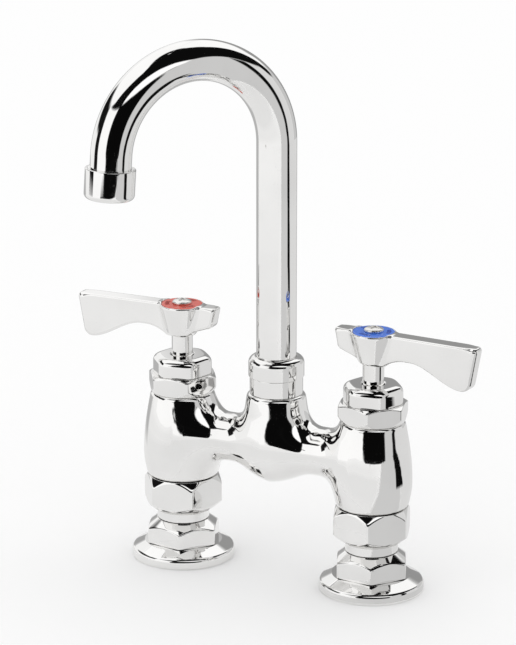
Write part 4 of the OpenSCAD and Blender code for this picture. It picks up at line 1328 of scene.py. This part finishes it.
@dataclass
class Valve(Fitting):
    """One valve: bonnet, packing nut and stem over the ceramic discs.

    Attributes:
        bonnet_yaw: Corner angles of the hot and the cold bonnet.
        packing_nut_yaw: Corner angles of the hot and the cold packing nut.
        bonnet_r: Distance from the axis to a flat of the bonnet.
        bonnet_z: Height of its hexagon's lower face.
        bonnet_h: Height of that hexagon.
        bonnet_chamfer: Height of its lower and its upper chamfer.
        neck_r: Radius of the neck above it.
        neck_z: Height of the neck's top.
        packing_r: Radius of the room for the packing.
        packing_z: Height of that room's floor.
        stem_hole_r: Radius of the stem's hole.
        stem_hole_z: Height of the hole's lower end.
        sleeve_bore_r: Radius of the room for the discs.
        sleeve_r: Radius of the sleeve round them.
        sleeve_z: Height of the sleeve's lower end.
        thread_r: Radius of the bonnet's thread.
        thread_z: Height of that thread's lower end.
        nut_r: Distance from the axis to a flat of the packing nut.
        nut_h: Height of the packing nut.
        nut_round: Rounding of its upper edge.
        nut_power: Sharpness of its corners.
        nut_bore_r: Radius of its threaded hole.
        nut_roof_z: Height of that hole's roof.
        nut_mouth: Radius of its mouth at the top and of the hole below.
        nut_change: Width over which its section goes from round to hexagonal.
        stem_r: Radius of the stem.
        stem_z: Height of its top.
        spigot_r: Radius of its end in the handle.
        spigot_z: Height of that end's foot.
        tapping: Radius of the screw's hole, height of its floor and height of its tip.
        core_r: Radius of the hole left along the axis.
        plate_r: Radius of the driving plate and of the shoulder.
        plate: Lowest and highest point of the driving plate.
        shoulder: Lowest and highest point of the shoulder.
        groove: Radius, lowest and highest point of the seal's groove.
    """

    bonnet_yaw: tuple[float, float] = (6.1, 44.7)
    packing_nut_yaw: tuple[float, float] = (15.0, 10.8)
    bonnet_r: float = 15.25
    bonnet_z: float = 84.0
    bonnet_h: float = 8.8
    bonnet_chamfer: tuple[float, float] = (3.2, 1.4)
    neck_r: float = 10.61
    neck_z: float = 99.4
    packing_r: float = 8.11
    packing_z: float = 96.4
    stem_hole_r: float = 5.11
    stem_hole_z: float = 80.0
    sleeve_bore_r: float = 8.1
    sleeve_r: float = 9.6
    sleeve_z: float = 54.1
    thread_r: float = 11.5
    thread_z: float = 74.0
    nut_r: float = 13.4
    nut_h: float = 9.0
    nut_round: float = 3.5
    nut_power: float = 9.0
    nut_bore_r: float = 10.66
    nut_roof_z: float = 99.5
    nut_mouth: tuple[float, float] = (6.0, 5.45)
    nut_change: float = 1.9
    stem_r: float = 5.05
    stem_z: float = 121.75
    spigot_r: float = 4.3
    spigot_z: float = 111.5
    tapping: tuple[float, float, float] = (2.05, 112.75, 111.8)
    core_r: float = 0.4
    plate_r: float = 7.9
    plate: tuple[float, float] = (62.7, 65.7)
    shoulder: tuple[float, float] = (76.6, 79.1)
    groove: tuple[float, float, float] = (3.41, 86.0, 87.8)

    def bonnet(self) -> Shell:
        """The bonnet, from its sleeve round the discs to its threaded neck."""
        inside = [
            (self.neck_r, self.bonnet_z + self.bonnet_h, CRISP), (self.neck_r, self.neck_z, FINE),
            (self.packing_r, self.neck_z, FINE), (self.packing_r, self.packing_z, CRISP),
            (self.stem_hole_r, self.packing_z, CRISP), (self.stem_hole_r, self.stem_hole_z, CRISP),
            (self.sleeve_bore_r, self.stem_hole_z, CRISP), (self.sleeve_bore_r, self.sleeve_z, FINE),
            (self.sleeve_r, self.sleeve_z, FINE), (self.sleeve_r, self.thread_z, FINE),
            (self.thread_r, self.thread_z, 0.5), (self.thread_r, self.bonnet_z, CRISP),
        ]
        low, top = ((self.bonnet_r, chamfer) for chamfer in self.bonnet_chamfer)
        nut = Nut(self.bonnet_r, self.bonnet_z, self.bonnet_h, low, top, inside)
        return nut.shell(self.side.pick(*self.bonnet_yaw))

    def packing_nut(self) -> Shell:
        """The packing nut: a hexagon with rounded corners and upper edges."""
        low_z = self.bonnet_z + self.bonnet_h
        top_z = low_z + self.nut_h
        mouth_r, hole_r = self.nut_mouth
        section = rounded(
            [
                (self.nut_bore_r, low_z, FINE), (self.nut_r, low_z, SOFT), (self.nut_r, top_z, self.nut_round),
                (mouth_r, top_z, FINE), (hole_r, top_z - mouth_r + hole_r, FINE), (hole_r, self.nut_roof_z, CRISP),
                (self.nut_bore_r, self.nut_roof_z, CRISP),
            ],
            longest=0.4, steps=14, inner=self.nut_bore_r + 0.04,
        )
        shell = lathe(section, 360)
        r = np.hypot(shell.points[:, 0], shell.points[:, 1])
        inside = np.where(shell.points[:, 2] < self.nut_roof_z + 0.05, self.nut_bore_r, mouth_r + CRISP)
        outer = np.clip((r - inside) / self.nut_change, 0, 1)
        reach = hexagon_reach(shell.points, self.side.pick(*self.packing_nut_yaw), self.nut_power)
        points = shell.points.copy()
        points[:, :2] *= (1 + (reach - 1) * outer)[:, None]
        return Shell(points, shell.faces)

    def stem(self) -> Shell:
        """The stem, from its driving plate to its end in the handle."""
        tap_r, tap_z, tip_z = self.tapping
        groove_r, groove_low, groove_top = self.groove
        corners = [
            (tap_r, self.stem_z, FINE), (tap_r, tap_z, CRISP), (self.core_r, tip_z, CRISP),
            (self.core_r, self.plate[0], CRISP), (self.plate_r, self.plate[0], FINE),
            (self.plate_r, self.plate[1], FINE), (self.stem_r, self.plate[1], FINE),
            (self.stem_r, self.shoulder[0], CRISP), (self.plate_r, self.shoulder[0], FINE),
            (self.plate_r, self.shoulder[1], FINE), (self.stem_r, self.shoulder[1], CRISP),
            (self.stem_r, groove_low, CRISP), (groove_r, groove_low, CRISP), (groove_r, groove_top, CRISP),
            (self.stem_r, groove_top, CRISP), (self.stem_r, self.spigot_z, CRISP),
            (self.spigot_r, self.spigot_z, CRISP), (self.spigot_r, self.stem_z, SOFT),
        ]
        return lathe(rounded(corners), 96)

    def build(self) -> None:
        """Builds and dresses the valve."""
        self.put(self.bonnet(), "bonnet", TURNED_CHROME)
        self.put(self.packing_nut(), "packing_nut", TURNED_CHROME)
        self.put(self.stem(), "stem", TURNED_CHROME, self.side.lever)
        self.coat(RUBBER, "seat_seal", "stem_o_ring")
        self.coat(CERAMIC, "fixed_disc", "moving_disc")
        self.coat(FIBRE, "bonnet_gasket")
        self.coat(WHITE_PLASTIC, "packing", "stem_washer")


@dataclass
class Lever:
    """The shape of a lever handle with its index disc and screw.

    Attributes:
        top_z: Height of the hub's top.
        hub_h: Height of the hub.
        hub_r: Radius of the hub's top.
        foot_r: Radius of the hub's foot.
        rim_h: Height of the hub's upright rim.
        hub_edge: Width of the round on the hub's top and foot.
        reach: Distance from the axis to the tip.
        tail: Distance from the axis to the tail's end.
        thick: Thickness of the blade.
        neck_h: Height of the blade at its neck.
        root_l: Distance from the axis at which the blade's root starts to run down to the hub's foot.
        neck_l: Distance from the axis at which the blade starts to deepen towards its tip.
        tip_h: Height of the blade at its tip.
        tip_lean: Lean of the tip's edge.
        tip_round: Radius of the tip's upper and lower corner.
        tail_h: Height of the tail's end.
        tail_lean: Lean of the tail's edge.
        tail_round: Radius of the tail's upper and lower corner.
        edge: Rounding of the blade's edges along it and at its two ends.
        end_l: Length before the tip and before the tail over which that rounding grows.
        end_rise: Length over which it reaches its full size.
        fillet: Width of the fillet between hub and blade.
        stem_r: Radius of the stem's hole in the hub.
        stem_roof: Depth of that hole's roof below the hub's top.
        hole_r: Radius of the screw's hole.
        hole_edge: Width of the round on the edges of the holes.
        yaw: Forward turn of the closed lever, in degrees.
        index_r: Radius of the index disc.
        index_t: Thickness of the index disc.
        tick_count: Places for ticks round the index disc.
        tick_groups: Groups of ticks.
        tick_share: Share of each group's arc that has ticks.
        tick_r: Radius of the circle that the ticks stand on.
        tick_size: Length, width and height of a tick.
        screw_r: Radius of the screw's head.
        screw_h: Height of the screw's head.
        screw_rim: Height of the head's upright rim.
        shaft_r: Radius of the screw's shaft.
        shaft_l: Length of the shaft below the head.
        slot: Half length, half width and floor's height of the head's crossed slots.
        step: Pitch of the handle's mesh.
        screw_step: Pitch of the screw's mesh.
        made: The shells, once they are made.
    """

    top_z: float = 127.0
    hub_h: float = 15.5
    hub_r: float = 10.5
    foot_r: float = 6.75
    rim_h: float = 1.6
    hub_edge: tuple[float, float] = (0.9, 1.6)
    reach: float = 54.6
    tail: float = 19.2
    thick: float = 8.0
    neck_h: float = 11.6
    root_l: float = 18.0
    neck_l: float = 20.5
    tip_h: float = 21.2
    tip_lean: float = 2.7
    tip_round: tuple[float, float] = (2.0, 4.5)
    tail_h: float = 10.4
    tail_lean: float = 1.4
    tail_round: tuple[float, float] = (1.2, 3.0)
    edge: tuple[float, float] = (0.9, 2.2)
    end_l: tuple[float, float] = (9.0, 7.0)
    end_rise: float = 6.0
    fillet: float = 1.8
    stem_r: float = 4.5
    stem_roof: float = 5.2
    hole_r: float = 2.1
    hole_edge: float = 0.35
    yaw: float = 2.5
    index_r: float = 9.8
    index_t: float = 1.2
    tick_count: int = 42
    tick_groups: float = 3.0
    tick_share: float = 0.4
    tick_r: float = 7.2
    tick_size: tuple[float, float, float] = (2.0, 0.5, 0.16)
    screw_r: float = 4.6
    screw_h: float = 2.2
    screw_rim: float = 0.8
    shaft_r: float = 2.0
    shaft_l: float = 13.25
    slot: tuple[float, float, float] = (2.5, 0.6, 1.3)
    step: float = 0.36
    screw_step: float = 0.17
    made: dict[str, Shell] = field(default_factory=dict)

    def outline(self) -> Array:
        """Side view of the blade: distance from the axis and height from the hub's top."""
        tip_a = -math.degrees(math.atan2(self.tip_lean, self.tip_h))
        tail_a = 180 + math.degrees(math.atan2(self.tail_lean, self.tail_h))
        low = (self.reach - self.tip_lean - self.tip_round[1], self.tip_round[1] - self.tip_h)
        points = arc((self.reach - self.tip_round[0], -self.tip_round[0]), self.tip_round[0], 90, tip_a)
        points += arc(low, self.tip_round[1], tip_a, -90)
        for t in np.linspace(0, 1, 29)[1:]:
            eased = t * t * (3 - 2 * t)
            points.append((low[0] + (self.neck_l - low[0]) * t, (self.tip_h - self.neck_h) * eased - self.tip_h))
        for t in np.linspace(0, 1, 13):
            along = self.root_l + (self.foot_r - self.root_l) * t
            points.append((along, -self.neck_h - (self.hub_h - self.neck_h) * t * t))
        points.append((0, -self.hub_h))
        low = (self.tail_lean + self.tail_round[1] - self.tail, self.tail_round[1] - self.tail_h)
        points += arc(low, self.tail_round[1], 270, tail_a)
        points += arc((self.tail_round[0] - self.tail, -self.tail_round[0]), self.tail_round[0], tail_a, 90)
        return np.array(points)

    def hub_distance(self, rho: Array, w: Array) -> Array:
        """Distance to the hub.

        Args:
            rho: Distance from the axis.
            w: Height from the hub's top.

        Returns:
            The distance.
        """
        rise = (self.hub_r - self.foot_r) / (self.hub_h - self.rim_h)
        side = (rho - np.minimum(self.foot_r + (w + self.hub_h) * rise, self.hub_r)) / math.hypot(1, rise)
        return soft_max(soft_max(side, w, self.hub_edge[0]), -self.hub_h - w, self.hub_edge[1])

    def handle_distance(self, points: Array) -> Array:
        """Distance to the handle from each point, with the blade along X and the hub's top at zero."""
        u, v, w = points.T
        rho = np.hypot(u, v)
        past = np.maximum(u - self.reach + self.end_l[0], self.end_l[1] - self.tail - u)
        near_end = np.clip(past / self.end_rise, 0, 1)
        edge = self.edge[0] + (self.edge[1] - self.edge[0]) * near_end**2
        flat = outline_distance(np.stack([u, w], -1), self.outline()) + edge
        deep = np.abs(v) - self.thick / 2 + edge
        blade = np.minimum(np.maximum(flat, deep), 0) - edge
        blade += np.hypot(np.maximum(flat, 0), np.maximum(deep, 0))
        solid = soft_min(self.hub_distance(rho, w), blade, self.fillet)
        recess = np.maximum(rho - self.index_r - 0.1, -self.index_t - w)
        bore = np.maximum(rho - self.stem_r, w + self.stem_roof)
        return soft_max(solid, -np.minimum.reduce([recess, bore, rho - self.hole_r]), self.hole_edge)

    def screw_distance(self, points: Array) -> Array:
        """Distance to the screw from each point, with the hub's top at zero."""
        u, v, w = points.T
        rho = np.hypot(u, v)
        up = np.maximum(w - self.screw_rim, 0)
        head = soft_max(ellipse_distance(rho, up, self.screw_r, self.screw_h - self.screw_rim), -w, 0.3)
        shaft = np.maximum(rho - self.shaft_r, np.maximum(w - 0.7, -self.shaft_l - w))
        length, width, floor = self.slot
        slots = np.minimum(
            np.maximum(np.abs(u) - length, np.abs(v) - width), np.maximum(np.abs(v) - length, np.abs(u) - width)
        )
        return soft_max(np.minimum(head, shaft), -np.maximum(slots, floor - w), 0.22)

    def shells(self) -> dict[str, Shell]:
        """The handle, disc and screw along X, made once for both sides."""
        if not self.made:
            low = (-self.tail - 0.8, -self.hub_r - 0.8, -self.tip_h - 0.8)
            high = (self.reach + 0.8, self.hub_r + 0.8, 0.8)
            self.made["handle"] = skin(self.handle_distance, low, high, pitch(self.step))
            size = self.screw_r + 0.4
            low, high = (-size, -size, -self.shaft_l - 0.45), (size, size, self.screw_h + 0.4)
            self.made["handle_screw"] = skin(self.screw_distance, low, high, pitch(self.screw_step))
            disc = [
                (self.hole_r, 0.0, CRISP), (self.hole_r, -self.index_t, CRISP), (self.index_r, -self.index_t, CRISP),
                (self.index_r, -0.12, CRISP), (self.index_r - 0.5, 0.0, SOFT),
            ]
            self.made["index_disc"] = lathe(rounded(disc, longest=1.0))
        return self.made

    def build(self, side: Side, ticks: Rule) -> None:
        """Builds and dresses the lever of a side.

        Args:
            side: The side.
            ticks: The rule that sets bars round a circle.
        """
        turn = math.radians(side.pick(180 + self.yaw, -self.yaw))
        place = Matrix.Translation((side.x, 0, self.top_z)) @ Matrix.Rotation(turn, 4, "Z")
        finishes = {"handle": LEVER_CHROME, "handle_screw": SCREW_STEEL, "index_disc": side.pick(RED, BLUE)}
        for part, shell in self.shells().items():
            node = f"{side.label}_{part}"
            shell.placed(place).piece(f"{node}_skin", side.lever, finishes[part], node)
        mark = side.pick(RED_MARK, BLUE_MARK)
        bars = ticks.bake(
            carrier_of("ticks", np.zeros((0, 3))), mark, Count=self.tick_count, Groups=self.tick_groups,
            Filled=self.tick_share, Radius=self.tick_r * MM, Size=tuple(size * MM for size in self.tick_size),
        )
        bars.placed(place).piece(f"{side.label}_index_marks", side.lever, mark)


@dataclass
class Spout:
    """The gooseneck with its swivel and aerator.

    Attributes:
        tube_r: Radius of the tube.
        wall: Wall of the tube.
        tube_z: Height of the tube's lower end.
        bend_z: Height at which the bend starts.
        bend_r: Radius of the bend.
        bend_a: Angle of the bend, in degrees.
        leg: Length of the straight leg after the bend.
        yaw: Direction of the reach, in degrees.
        bend_steps: Sides of the bend's mesh along it.
        tube_segments: Sides of the tube's mesh round it.
        swivel_r: Radius of the holes round the tube in the collar and in the nut.
        socket: Radius of the collar in the boss and height of its lower end.
        collar: Radius of the collar's ring and height of its lower face.
        collar_thread: Radius of the collar's thread and height of its top.
        nut_r: Radius of the spout nut.
        nut_z: Heights of its lower face and of its top.
        nut_dome: Width and height of its rounded shoulder.
        nut_bore: Radius of its threaded hole and height of that hole's roof.
        nozzle_l: Length of the leg inside the aerator.
        housing_r: Radius of the aerator's housing.
        housing_l: Length of the housing.
        housing_dome: Width and height of its rounded end.
        housing_bore: Radius of its hole and depth of that hole's floor.
        housing_mouth_r: Radius of its mouth.
    """

    tube_r: float = 9.525
    wall: float = 1.2
    tube_z: float = 107.0
    bend_z: float = 211.6
    bend_r: float = 42.7
    bend_a: float = 176.0
    leg: float = 12.6
    yaw: float = 236.1
    bend_steps: int = 144
    tube_segments: int = 128
    swivel_r: float = 9.585
    socket: tuple[float, float] = (11.185, 76.0)
    collar: tuple[float, float] = (12.685, 90.0)
    collar_thread: tuple[float, float] = (11.485, 104.3)
    nut_r: float = 13.285
    nut_z: tuple[float, float] = (98.3, 108.1)
    nut_dome: tuple[float, float] = (3.2, 3.2)
    nut_bore: tuple[float, float] = (11.535, 105.9)
    nozzle_l: float = 7.0
    housing_r: float = 11.625
    housing_l: float = 14.3
    housing_dome: tuple[float, float] = (2.5, 2.5)
    housing_bore: tuple[float, float] = (10.625, 13.1)
    housing_mouth_r: float = 8.725

    def path(self) -> Array:
        """Points along the tube's axis in the plane of its reach: distance from the riser and height."""
        points = [(0.0, z) for z in (self.tube_z, self.tube_z + 0.5, self.tube_z + 40, self.bend_z - 2)]
        for turn in np.radians(np.linspace(180, 180 - self.bend_a, self.bend_steps + 1)):
            points.append((self.bend_r * (1 + math.cos(turn)), self.bend_z + self.bend_r * math.sin(turn)))
        end = math.radians(180 - self.bend_a)
        across, height = points[-1]
        for run in (2.0, self.leg - 0.5, self.leg):
            points.append((across + run * math.sin(end), height - run * math.cos(end)))
        return np.array(points)

    def outlet(self) -> Matrix:
        """Frame at the end of the bend whose Z points along the flow."""
        end = math.radians(180 - self.bend_a)
        reach = self.bend_r * (1 + math.cos(end))
        height = self.bend_z + self.bend_r * math.sin(end)
        plane = Matrix.Rotation(math.radians(self.yaw), 4, "Z")
        return plane @ Matrix.Translation((reach, 0, height)) @ Matrix.Rotation(math.pi - end, 4, "Y")

    def swivel_collar(self) -> Shell:
        """The collar that is screwed into the boss and holds the tube."""
        (socket_r, low_z), (ring_r, seat_z), (thread_r, top_z) = self.socket, self.collar, self.collar_thread
        corners = [
            (self.swivel_r, low_z, FINE), (socket_r, low_z, SOFT), (socket_r, seat_z, CRISP), (ring_r, seat_z, EASED),
            (ring_r, self.nut_z[0], EASED), (thread_r, self.nut_z[0], CRISP), (thread_r, top_z, SOFT),
            (self.swivel_r, top_z, FINE),
        ]
        return lathe(rounded(corners, longest=1.0))

    def spout_nut(self) -> Shell:
        """The nut over the collar, with a rounded shoulder."""
        (low_z, top_z), (width, height), (bore_r, roof_z) = self.nut_z, self.nut_dome, self.nut_bore
        shoulder = curve(self.nut_r - width, top_z, self.nut_r, top_z - height)
        corners = [
            (bore_r, low_z, FINE), (self.nut_r, low_z, EASED), *shoulder[::-1], (self.swivel_r, top_z, 0.25),
            (self.swivel_r, roof_z, CRISP), (bore_r, roof_z, CRISP),
        ]
        return lathe(rounded(corners, longest=1.0))

    def tube(self, rule: Rule) -> Shell:
        """The gooseneck tube with its wall.

        Args:
            rule: The rule that draws a tube along a line.

        Returns:
            The mesh.
        """
        flat = self.path()
        turn = math.radians(self.yaw)
        line = np.stack([flat[:, 0] * math.cos(turn), flat[:, 0] * math.sin(turn), flat[:, 1]], -1)
        edges = [(i, i + 1) for i in range(len(line) - 1)]
        return rule.bake(
            carrier_of("gooseneck", line, edges), TUBE_CHROME, wall=self.wall, Radius=self.tube_r * MM,
            Segments=self.tube_segments,
        )

    def housing(self) -> Shell:
        """The aerator's housing, along the flow from the end of the bend."""
        start = self.leg - self.nozzle_l
        (width, height), (bore_r, floor) = self.housing_dome, self.housing_bore
        end = start + self.housing_l
        dome = [(r, end - z, c) for r, z, c in curve(self.housing_r - width, 0.0, self.housing_r, height)]
        corners = [
            (bore_r, start, FINE), (self.housing_r, start, 0.45), *dome[::-1], (self.housing_mouth_r, end, 0.15),
            (self.housing_mouth_r, start + floor, CRISP), (bore_r, start + floor, CRISP),
        ]
        return lathe(rounded(corners, longest=1.0)).placed(self.outlet())

    def build(self, rule: Rule) -> None:
        """Builds and dresses the spout.

        Args:
            rule: The rule that draws a tube along a line.
        """
        self.swivel_collar().piece("swivel_collar_skin", Body.BASE, TURNED_CHROME, "swivel_collar")
        self.spout_nut().piece("spout_nut_skin", Body.BASE, TURNED_CHROME, "spout_nut")
        self.tube(rule).piece("gooseneck_tube", Body.SPOUT, TUBE_CHROME, "spout_tube")
        self.housing().piece("aerator_shell", Body.SPOUT, TURNED_CHROME, "aerator_housing")
        coat_nodes(BRASS, "spout_ferrule")
        coat_nodes(TURNED_CHROME, "nozzle_ring")
        coat_nodes(RUBBER, "spout_o_rings", "aerator_washer")
        coat_nodes(STEEL, "spout_snap_ring")
        coat_nodes(WHITE_PLASTIC, "spout_thrust_washer", "aerator_insert")


# Studio


class Surface(Enum):
    """What a panel of the studio lies on."""

    DOME = "dome"
    WALL = "wall"
    FLOOR = "floor"


@dataclass(frozen=True)
class Card:
    """A panel of the studio, seen only in reflections.

    Attributes:
        name: The panel's name.
        light: Its brightness, where 1 is white.
        corners: Its corners, each an angle to the right of the camera, in degrees, and then its height above the
            horizon in degrees on the dome, its height in centimetres on the wall round the tap, or its distance in
            centimetres on the floor.
        soft: Width of its soft edge, in the same units.
        surface: What it lies on.
        layer: Its place among panels that cover each other; a higher one is nearer.
    """

    name: str
    light: float
    corners: tuple[tuple[float, float], ...]
    soft: float = 1.5
    surface: Surface = Surface.DOME
    layer: int = 0

    def flat(self) -> tuple[Array, list[list[int]], Array]:
        """The panel's triangles in its own two units.

        Returns:
            The vertices, the faces and how opaque the panel is at each vertex.
        """
        outline = np.array(self.corners, float)
        border: list[Array] = []
        for a, b in zip(outline, np.roll(outline, -1, 0)):
            pieces = max(1, math.ceil(np.linalg.norm(b - a) / 2))
            border += [a + (b - a) * t / pieces for t in range(pieces)]
        ring = len(border)
        low, high = outline.min(0), outline.max(0)
        grid = np.stack(np.meshgrid(*(np.arange(a, b, 2) for a, b in zip(low, high))), -1).reshape(-1, 2)
        inner = grid[outline_distance(grid, outline) < -0.9]
        points = [Vector(p) for p in np.concatenate([np.array(border), inner])]
        edges = [(i, (i + 1) % ring) for i in range(ring)]
        made, _, faces, *_ = delaunay_2d_cdt(points, edges, [], 1, 1e-6)
        places = np.array([tuple(v) for v in made])
        fade = np.clip(-outline_distance(places, outline) / max(self.soft, 0.05), 0, 1)
        return places, [list(face) for face in faces], fade

    def build(self, front: float, radius: float, middle: float, near: float) -> None:
        """Builds the panel.

        Args:
            front: Direction of the camera, in degrees from +X.
            radius: Radius of the dome, in metres.
            middle: Height of the dome's middle, in metres.
            near: Radius of the wall, in metres.
        """
        places, faces, fade = self.flat()
        turn, second = np.radians(front + places[:, 0]), places[:, 1]
        if self.surface is Surface.DOME:
            reach, rise = radius - 0.01 * self.layer, np.radians(second)
            away, height = reach * np.cos(rise), middle + reach * np.sin(rise)
        elif self.surface is Surface.WALL:
            away, height = np.full(len(turn), near), second / 100
        else:
            away, height = second / 100, np.full(len(turn), 0.0004 * (1 + self.layer))
        mesh = bpy.data.meshes.new(f"card_{self.name}")
        mesh.from_pydata(np.stack([away * np.cos(turn), away * np.sin(turn), height], -1).tolist(), [], faces)
        mesh.attributes.new("fade", "FLOAT", "POINT").data.foreach_set("value", fade)
        mesh.materials.append(self.material())
        card = put_in_scene(f"card_{self.name}", mesh)
        card.visible_camera = card.visible_diffuse = card.visible_shadow = False
        card.visible_transmission = card.visible_volume_scatter = False

    def material(self) -> bpy.types.Material:
        """An even light that fades out at the panel's edge."""
        material = bpy.data.materials.new(f"card_{self.name}")
        tree = blank(material)
        light = tree.add("ShaderNodeEmission", {"Color": (1, 1, 1, 1), "Strength": self.light})
        fade = tree.add("ShaderNodeAttribute", attribute_name="fade").outputs["Fac"]
        clear = tree.add("ShaderNodeBsdfTransparent")
        mix = tree.add("ShaderNodeMixShader", {0: fade, 1: clear.outputs[0], 2: light.outputs[0]})
        tree.add("ShaderNodeOutputMaterial", {0: mix.outputs[0]})
        return material


CARDS = (
    Card("left_ceiling", 1.1, ((-180, 28), (-180, 79), (-28, 79), (-28, 31))),
    Card("right_ceiling", 1.1, ((103, 20), (103, 79), (180, 79), (180, 20))),
    Card("left_panel", 1.1, ((-97, -16), (-97, 32), (-27, 32), (-29, -16)), layer=1),
    Card("near_right_panel", 0.66, ((36, -16), (40, 26), (70, 26), (68, -16)), layer=1),
    Card("far_right_panel", 0.77, ((72, -16), (78, 26), (114, 26), (114, -16)), layer=1),
    Card("back_right_panel", 0.62, ((110, -18), (110, 20), (152, 24), (152, -18)), 6, layer=1),
    Card("back_right_shade", 0.33, ((143, -18), (143, 31), (187, 31), (187, -18)), 6, layer=2),
    Card("back_left_shade", 0.4, ((-186, -18), (-186, 12), (-146, 9), (-146, -18)), 6, layer=2),
    Card(
        "ceiling", 0.004,
        (
            (-80, 31), (-64, 37), (-55, 46), (-42, 56), (-33, 63), (-38, 69), (-60, 74.5), (-95, 77), (-180, 77),
            (-180, 90), (180, 90), (180, 77), (130, 76), (115, 71), (109, 62), (119, 47), (127, 31), (134, 18),
            (125, 15), (113, 17), (106, 23.5), (82, 23.5), (66, 24), (52, 22), (44, 14), (25, 20), (-28, 28),
        ),
        2.0, layer=2,
    ),
    Card(
        "opening", 0.003,
        (
            (-14, -16), (-24, -12), (-30, -8.5), (-33, -3), (-33, 8), (-32, 20), (-29, 30), (-28, 32), (0, 32),
            (25, 24), (40, 16), (43, 8), (41, -2), (38, -16),
        ),
        2.0, layer=3,
    ),
    Card(
        "left_gap", 0.008,
        (
            (-141, 14), (-134, 27), (-120, 32), (-80, 32), (-74, 20), (-75, 9), (-100, 6), (-112, 5), (-132, 9),
        ),
        4.0, layer=3,
    ),
    Card(
        "right_gap", 0.003,
        ((58, -16), (65, -4), (67, 5), (67.5, 25), (82.5, 25), (82, 8), (80, -1), (72, -16)), layer=3,
    ),
    Card(
        "softbox", 1.2,
        (
            (-21, 29), (-18, 35), (-8, 41), (8, 44), (25, 42.5), (40, 35), (51.5, 23), (47, 15), (30, 18.5), (0, 27),
        ),
        2.0, layer=4,
    ),
    Card(
        "near_front", 0.004,
        ((-39, 12.4), (-42, 12.9), (-44, 14.2), (-42, 15.8), (-36, 16.5), (16, 16.5), (18, 14.5), (16, 12.4)), 0.5,
        Surface.WALL,
    ),
    Card("near_left", 0.008, ((-72, 14), (-72, 34), (-94, 34), (-94, 14)), 1.2, Surface.WALL),
    Card("floor_mid", 0.92, ((-186, 8), (-186, 84), (30, 84), (30, 8)), 30.0, Surface.FLOOR),
    Card("floor_near", 0.86, ((-180, 3), (-180, 40), (28, 40), (28, 3)), 9.0, Surface.FLOOR, 1),
    Card("floor_front", 0.004, ((-20, 91), (-24, 112), (38, 112), (34, 91)), 2.0, Surface.FLOOR, 2),
    Card("floor_back_left", 0.5, ((-186, 24), (-186, 112), (-118, 112), (-122, 24)), 8.0, Surface.FLOOR, 2),
    Card("floor_back_right", 0.5, ((145, 12), (145, 112), (187, 112), (187, 12)), 6.0, Surface.FLOOR, 2),
    Card("floor_shade", 0.66, ((24, 3), (24, 112), (80, 112), (80, 3)), 4.0, Surface.FLOOR, 2),
    Card("floor_far_shade", 0.77, ((74, 3), (74, 112), (151, 112), (151, 3)), 4.0, Surface.FLOOR, 2),
    Card("floor_gap", 0.004, ((59, 112), (73, 112), (87, 22), (66, 22)), 1.0, Surface.FLOOR, 3),
)


@dataclass
class Studio:
    """Floor, light, reflections and camera.

    Attributes:
        camera_at: Place of the camera, in metres.
        target: Point that it looks at, in metres.
        lens: Focal length for a 36 mm sensor.
        cards: The panels that the plate reflects.
        front: Direction of the camera, in degrees from +X.
        radius: Radius of the dome that the panels lie on, in metres.
        middle: Height of its middle, in metres.
        near: Radius of the wall that the near panels lie on, in metres.
        floor_half: Half the floor's size, in metres.
        floor_white: Brightness of the floor's colour.
    """

    camera_at: tuple[float, float, float] = (0.65026, -1.26782, 0.5452)
    target: tuple[float, float, float] = (-0.007714, -0.004016, 0.124226)
    lens: float = 175.89
    cards: tuple[Card, ...] = CARDS
    front: float = -62.86
    radius: float = 1.05
    middle: float = 0.2
    near: float = 0.4
    floor_half: float = 6.0
    floor_white: float = 0.99

    def camera(self) -> None:
        """Places the camera at the photograph's viewing angle."""
        data = bpy.data.cameras.new("camera")
        data.lens, data.sensor_width, data.sensor_fit = self.lens, 36, "AUTO"
        data.clip_start, data.clip_end = 0.05, 50
        camera = put_in_scene("camera", data)
        camera.location = self.camera_at
        camera.rotation_euler = (Vector(self.target) - Vector(self.camera_at)).to_track_quat("-Z", "Y").to_euler()
        bpy.context.scene.camera = camera

    def world(self) -> None:
        """Lights the scene evenly in white."""
        world = bpy.data.worlds.new("studio")
        bpy.context.scene.world = world
        tree = blank(world)
        light = tree.add("ShaderNodeBackground", {"Color": (1, 1, 1, 1), "Strength": 1.0})
        tree.add("ShaderNodeOutputWorld", {0: light.outputs[0]})

    def floor(self) -> None:
        """Lays a white floor at the deck's height, clear from below."""
        mesh = bpy.data.meshes.new("floor")
        corners = [(x * self.floor_half, y * self.floor_half, 0) for x, y in ((-1, -1), (1, -1), (1, 1), (-1, 1))]
        mesh.from_pydata(corners, [], [(0, 1, 2, 3)])
        material = bpy.data.materials.new("floor_white")
        tree = blank(material)
        matt = tree.add("ShaderNodeBsdfDiffuse", {"Color": (*[self.floor_white] * 3, 1)})
        clear = tree.add("ShaderNodeBsdfTransparent")
        back = tree.add("ShaderNodeNewGeometry").outputs["Backfacing"]
        mix = tree.add("ShaderNodeMixShader", {0: back, 1: matt.outputs[0], 2: clear.outputs[0]})
        tree.add("ShaderNodeOutputMaterial", {0: mix.outputs[0]})
        mesh.materials.append(material)
        put_in_scene("floor", mesh)

    def build(self) -> None:
        """Sets the studio up."""
        self.camera()
        self.world()
        self.floor()
        for card in self.cards:
            card.build(self.front, self.radius, self.middle, self.near)
        bpy.context.scene.view_settings.view_transform = "Standard"


def main() -> None:
    """Builds the tap's looks around the solids, piece by piece."""
    logging.basicConfig(level=logging.INFO, format="%(name)s %(message)s")
    Studio().build()
    thread, ticks, tube = thread_rule(), tick_rule(), tube_rule()
    Bridge().build()
    lever = Lever()
    for side in Side:
        Inlet(side).build(thread)
        Valve(side).build()
        lever.build(side, ticks)
    Spout().build(tube)
    bpy.context.view_layer.update()


if __name__ == "__main__":
    main()
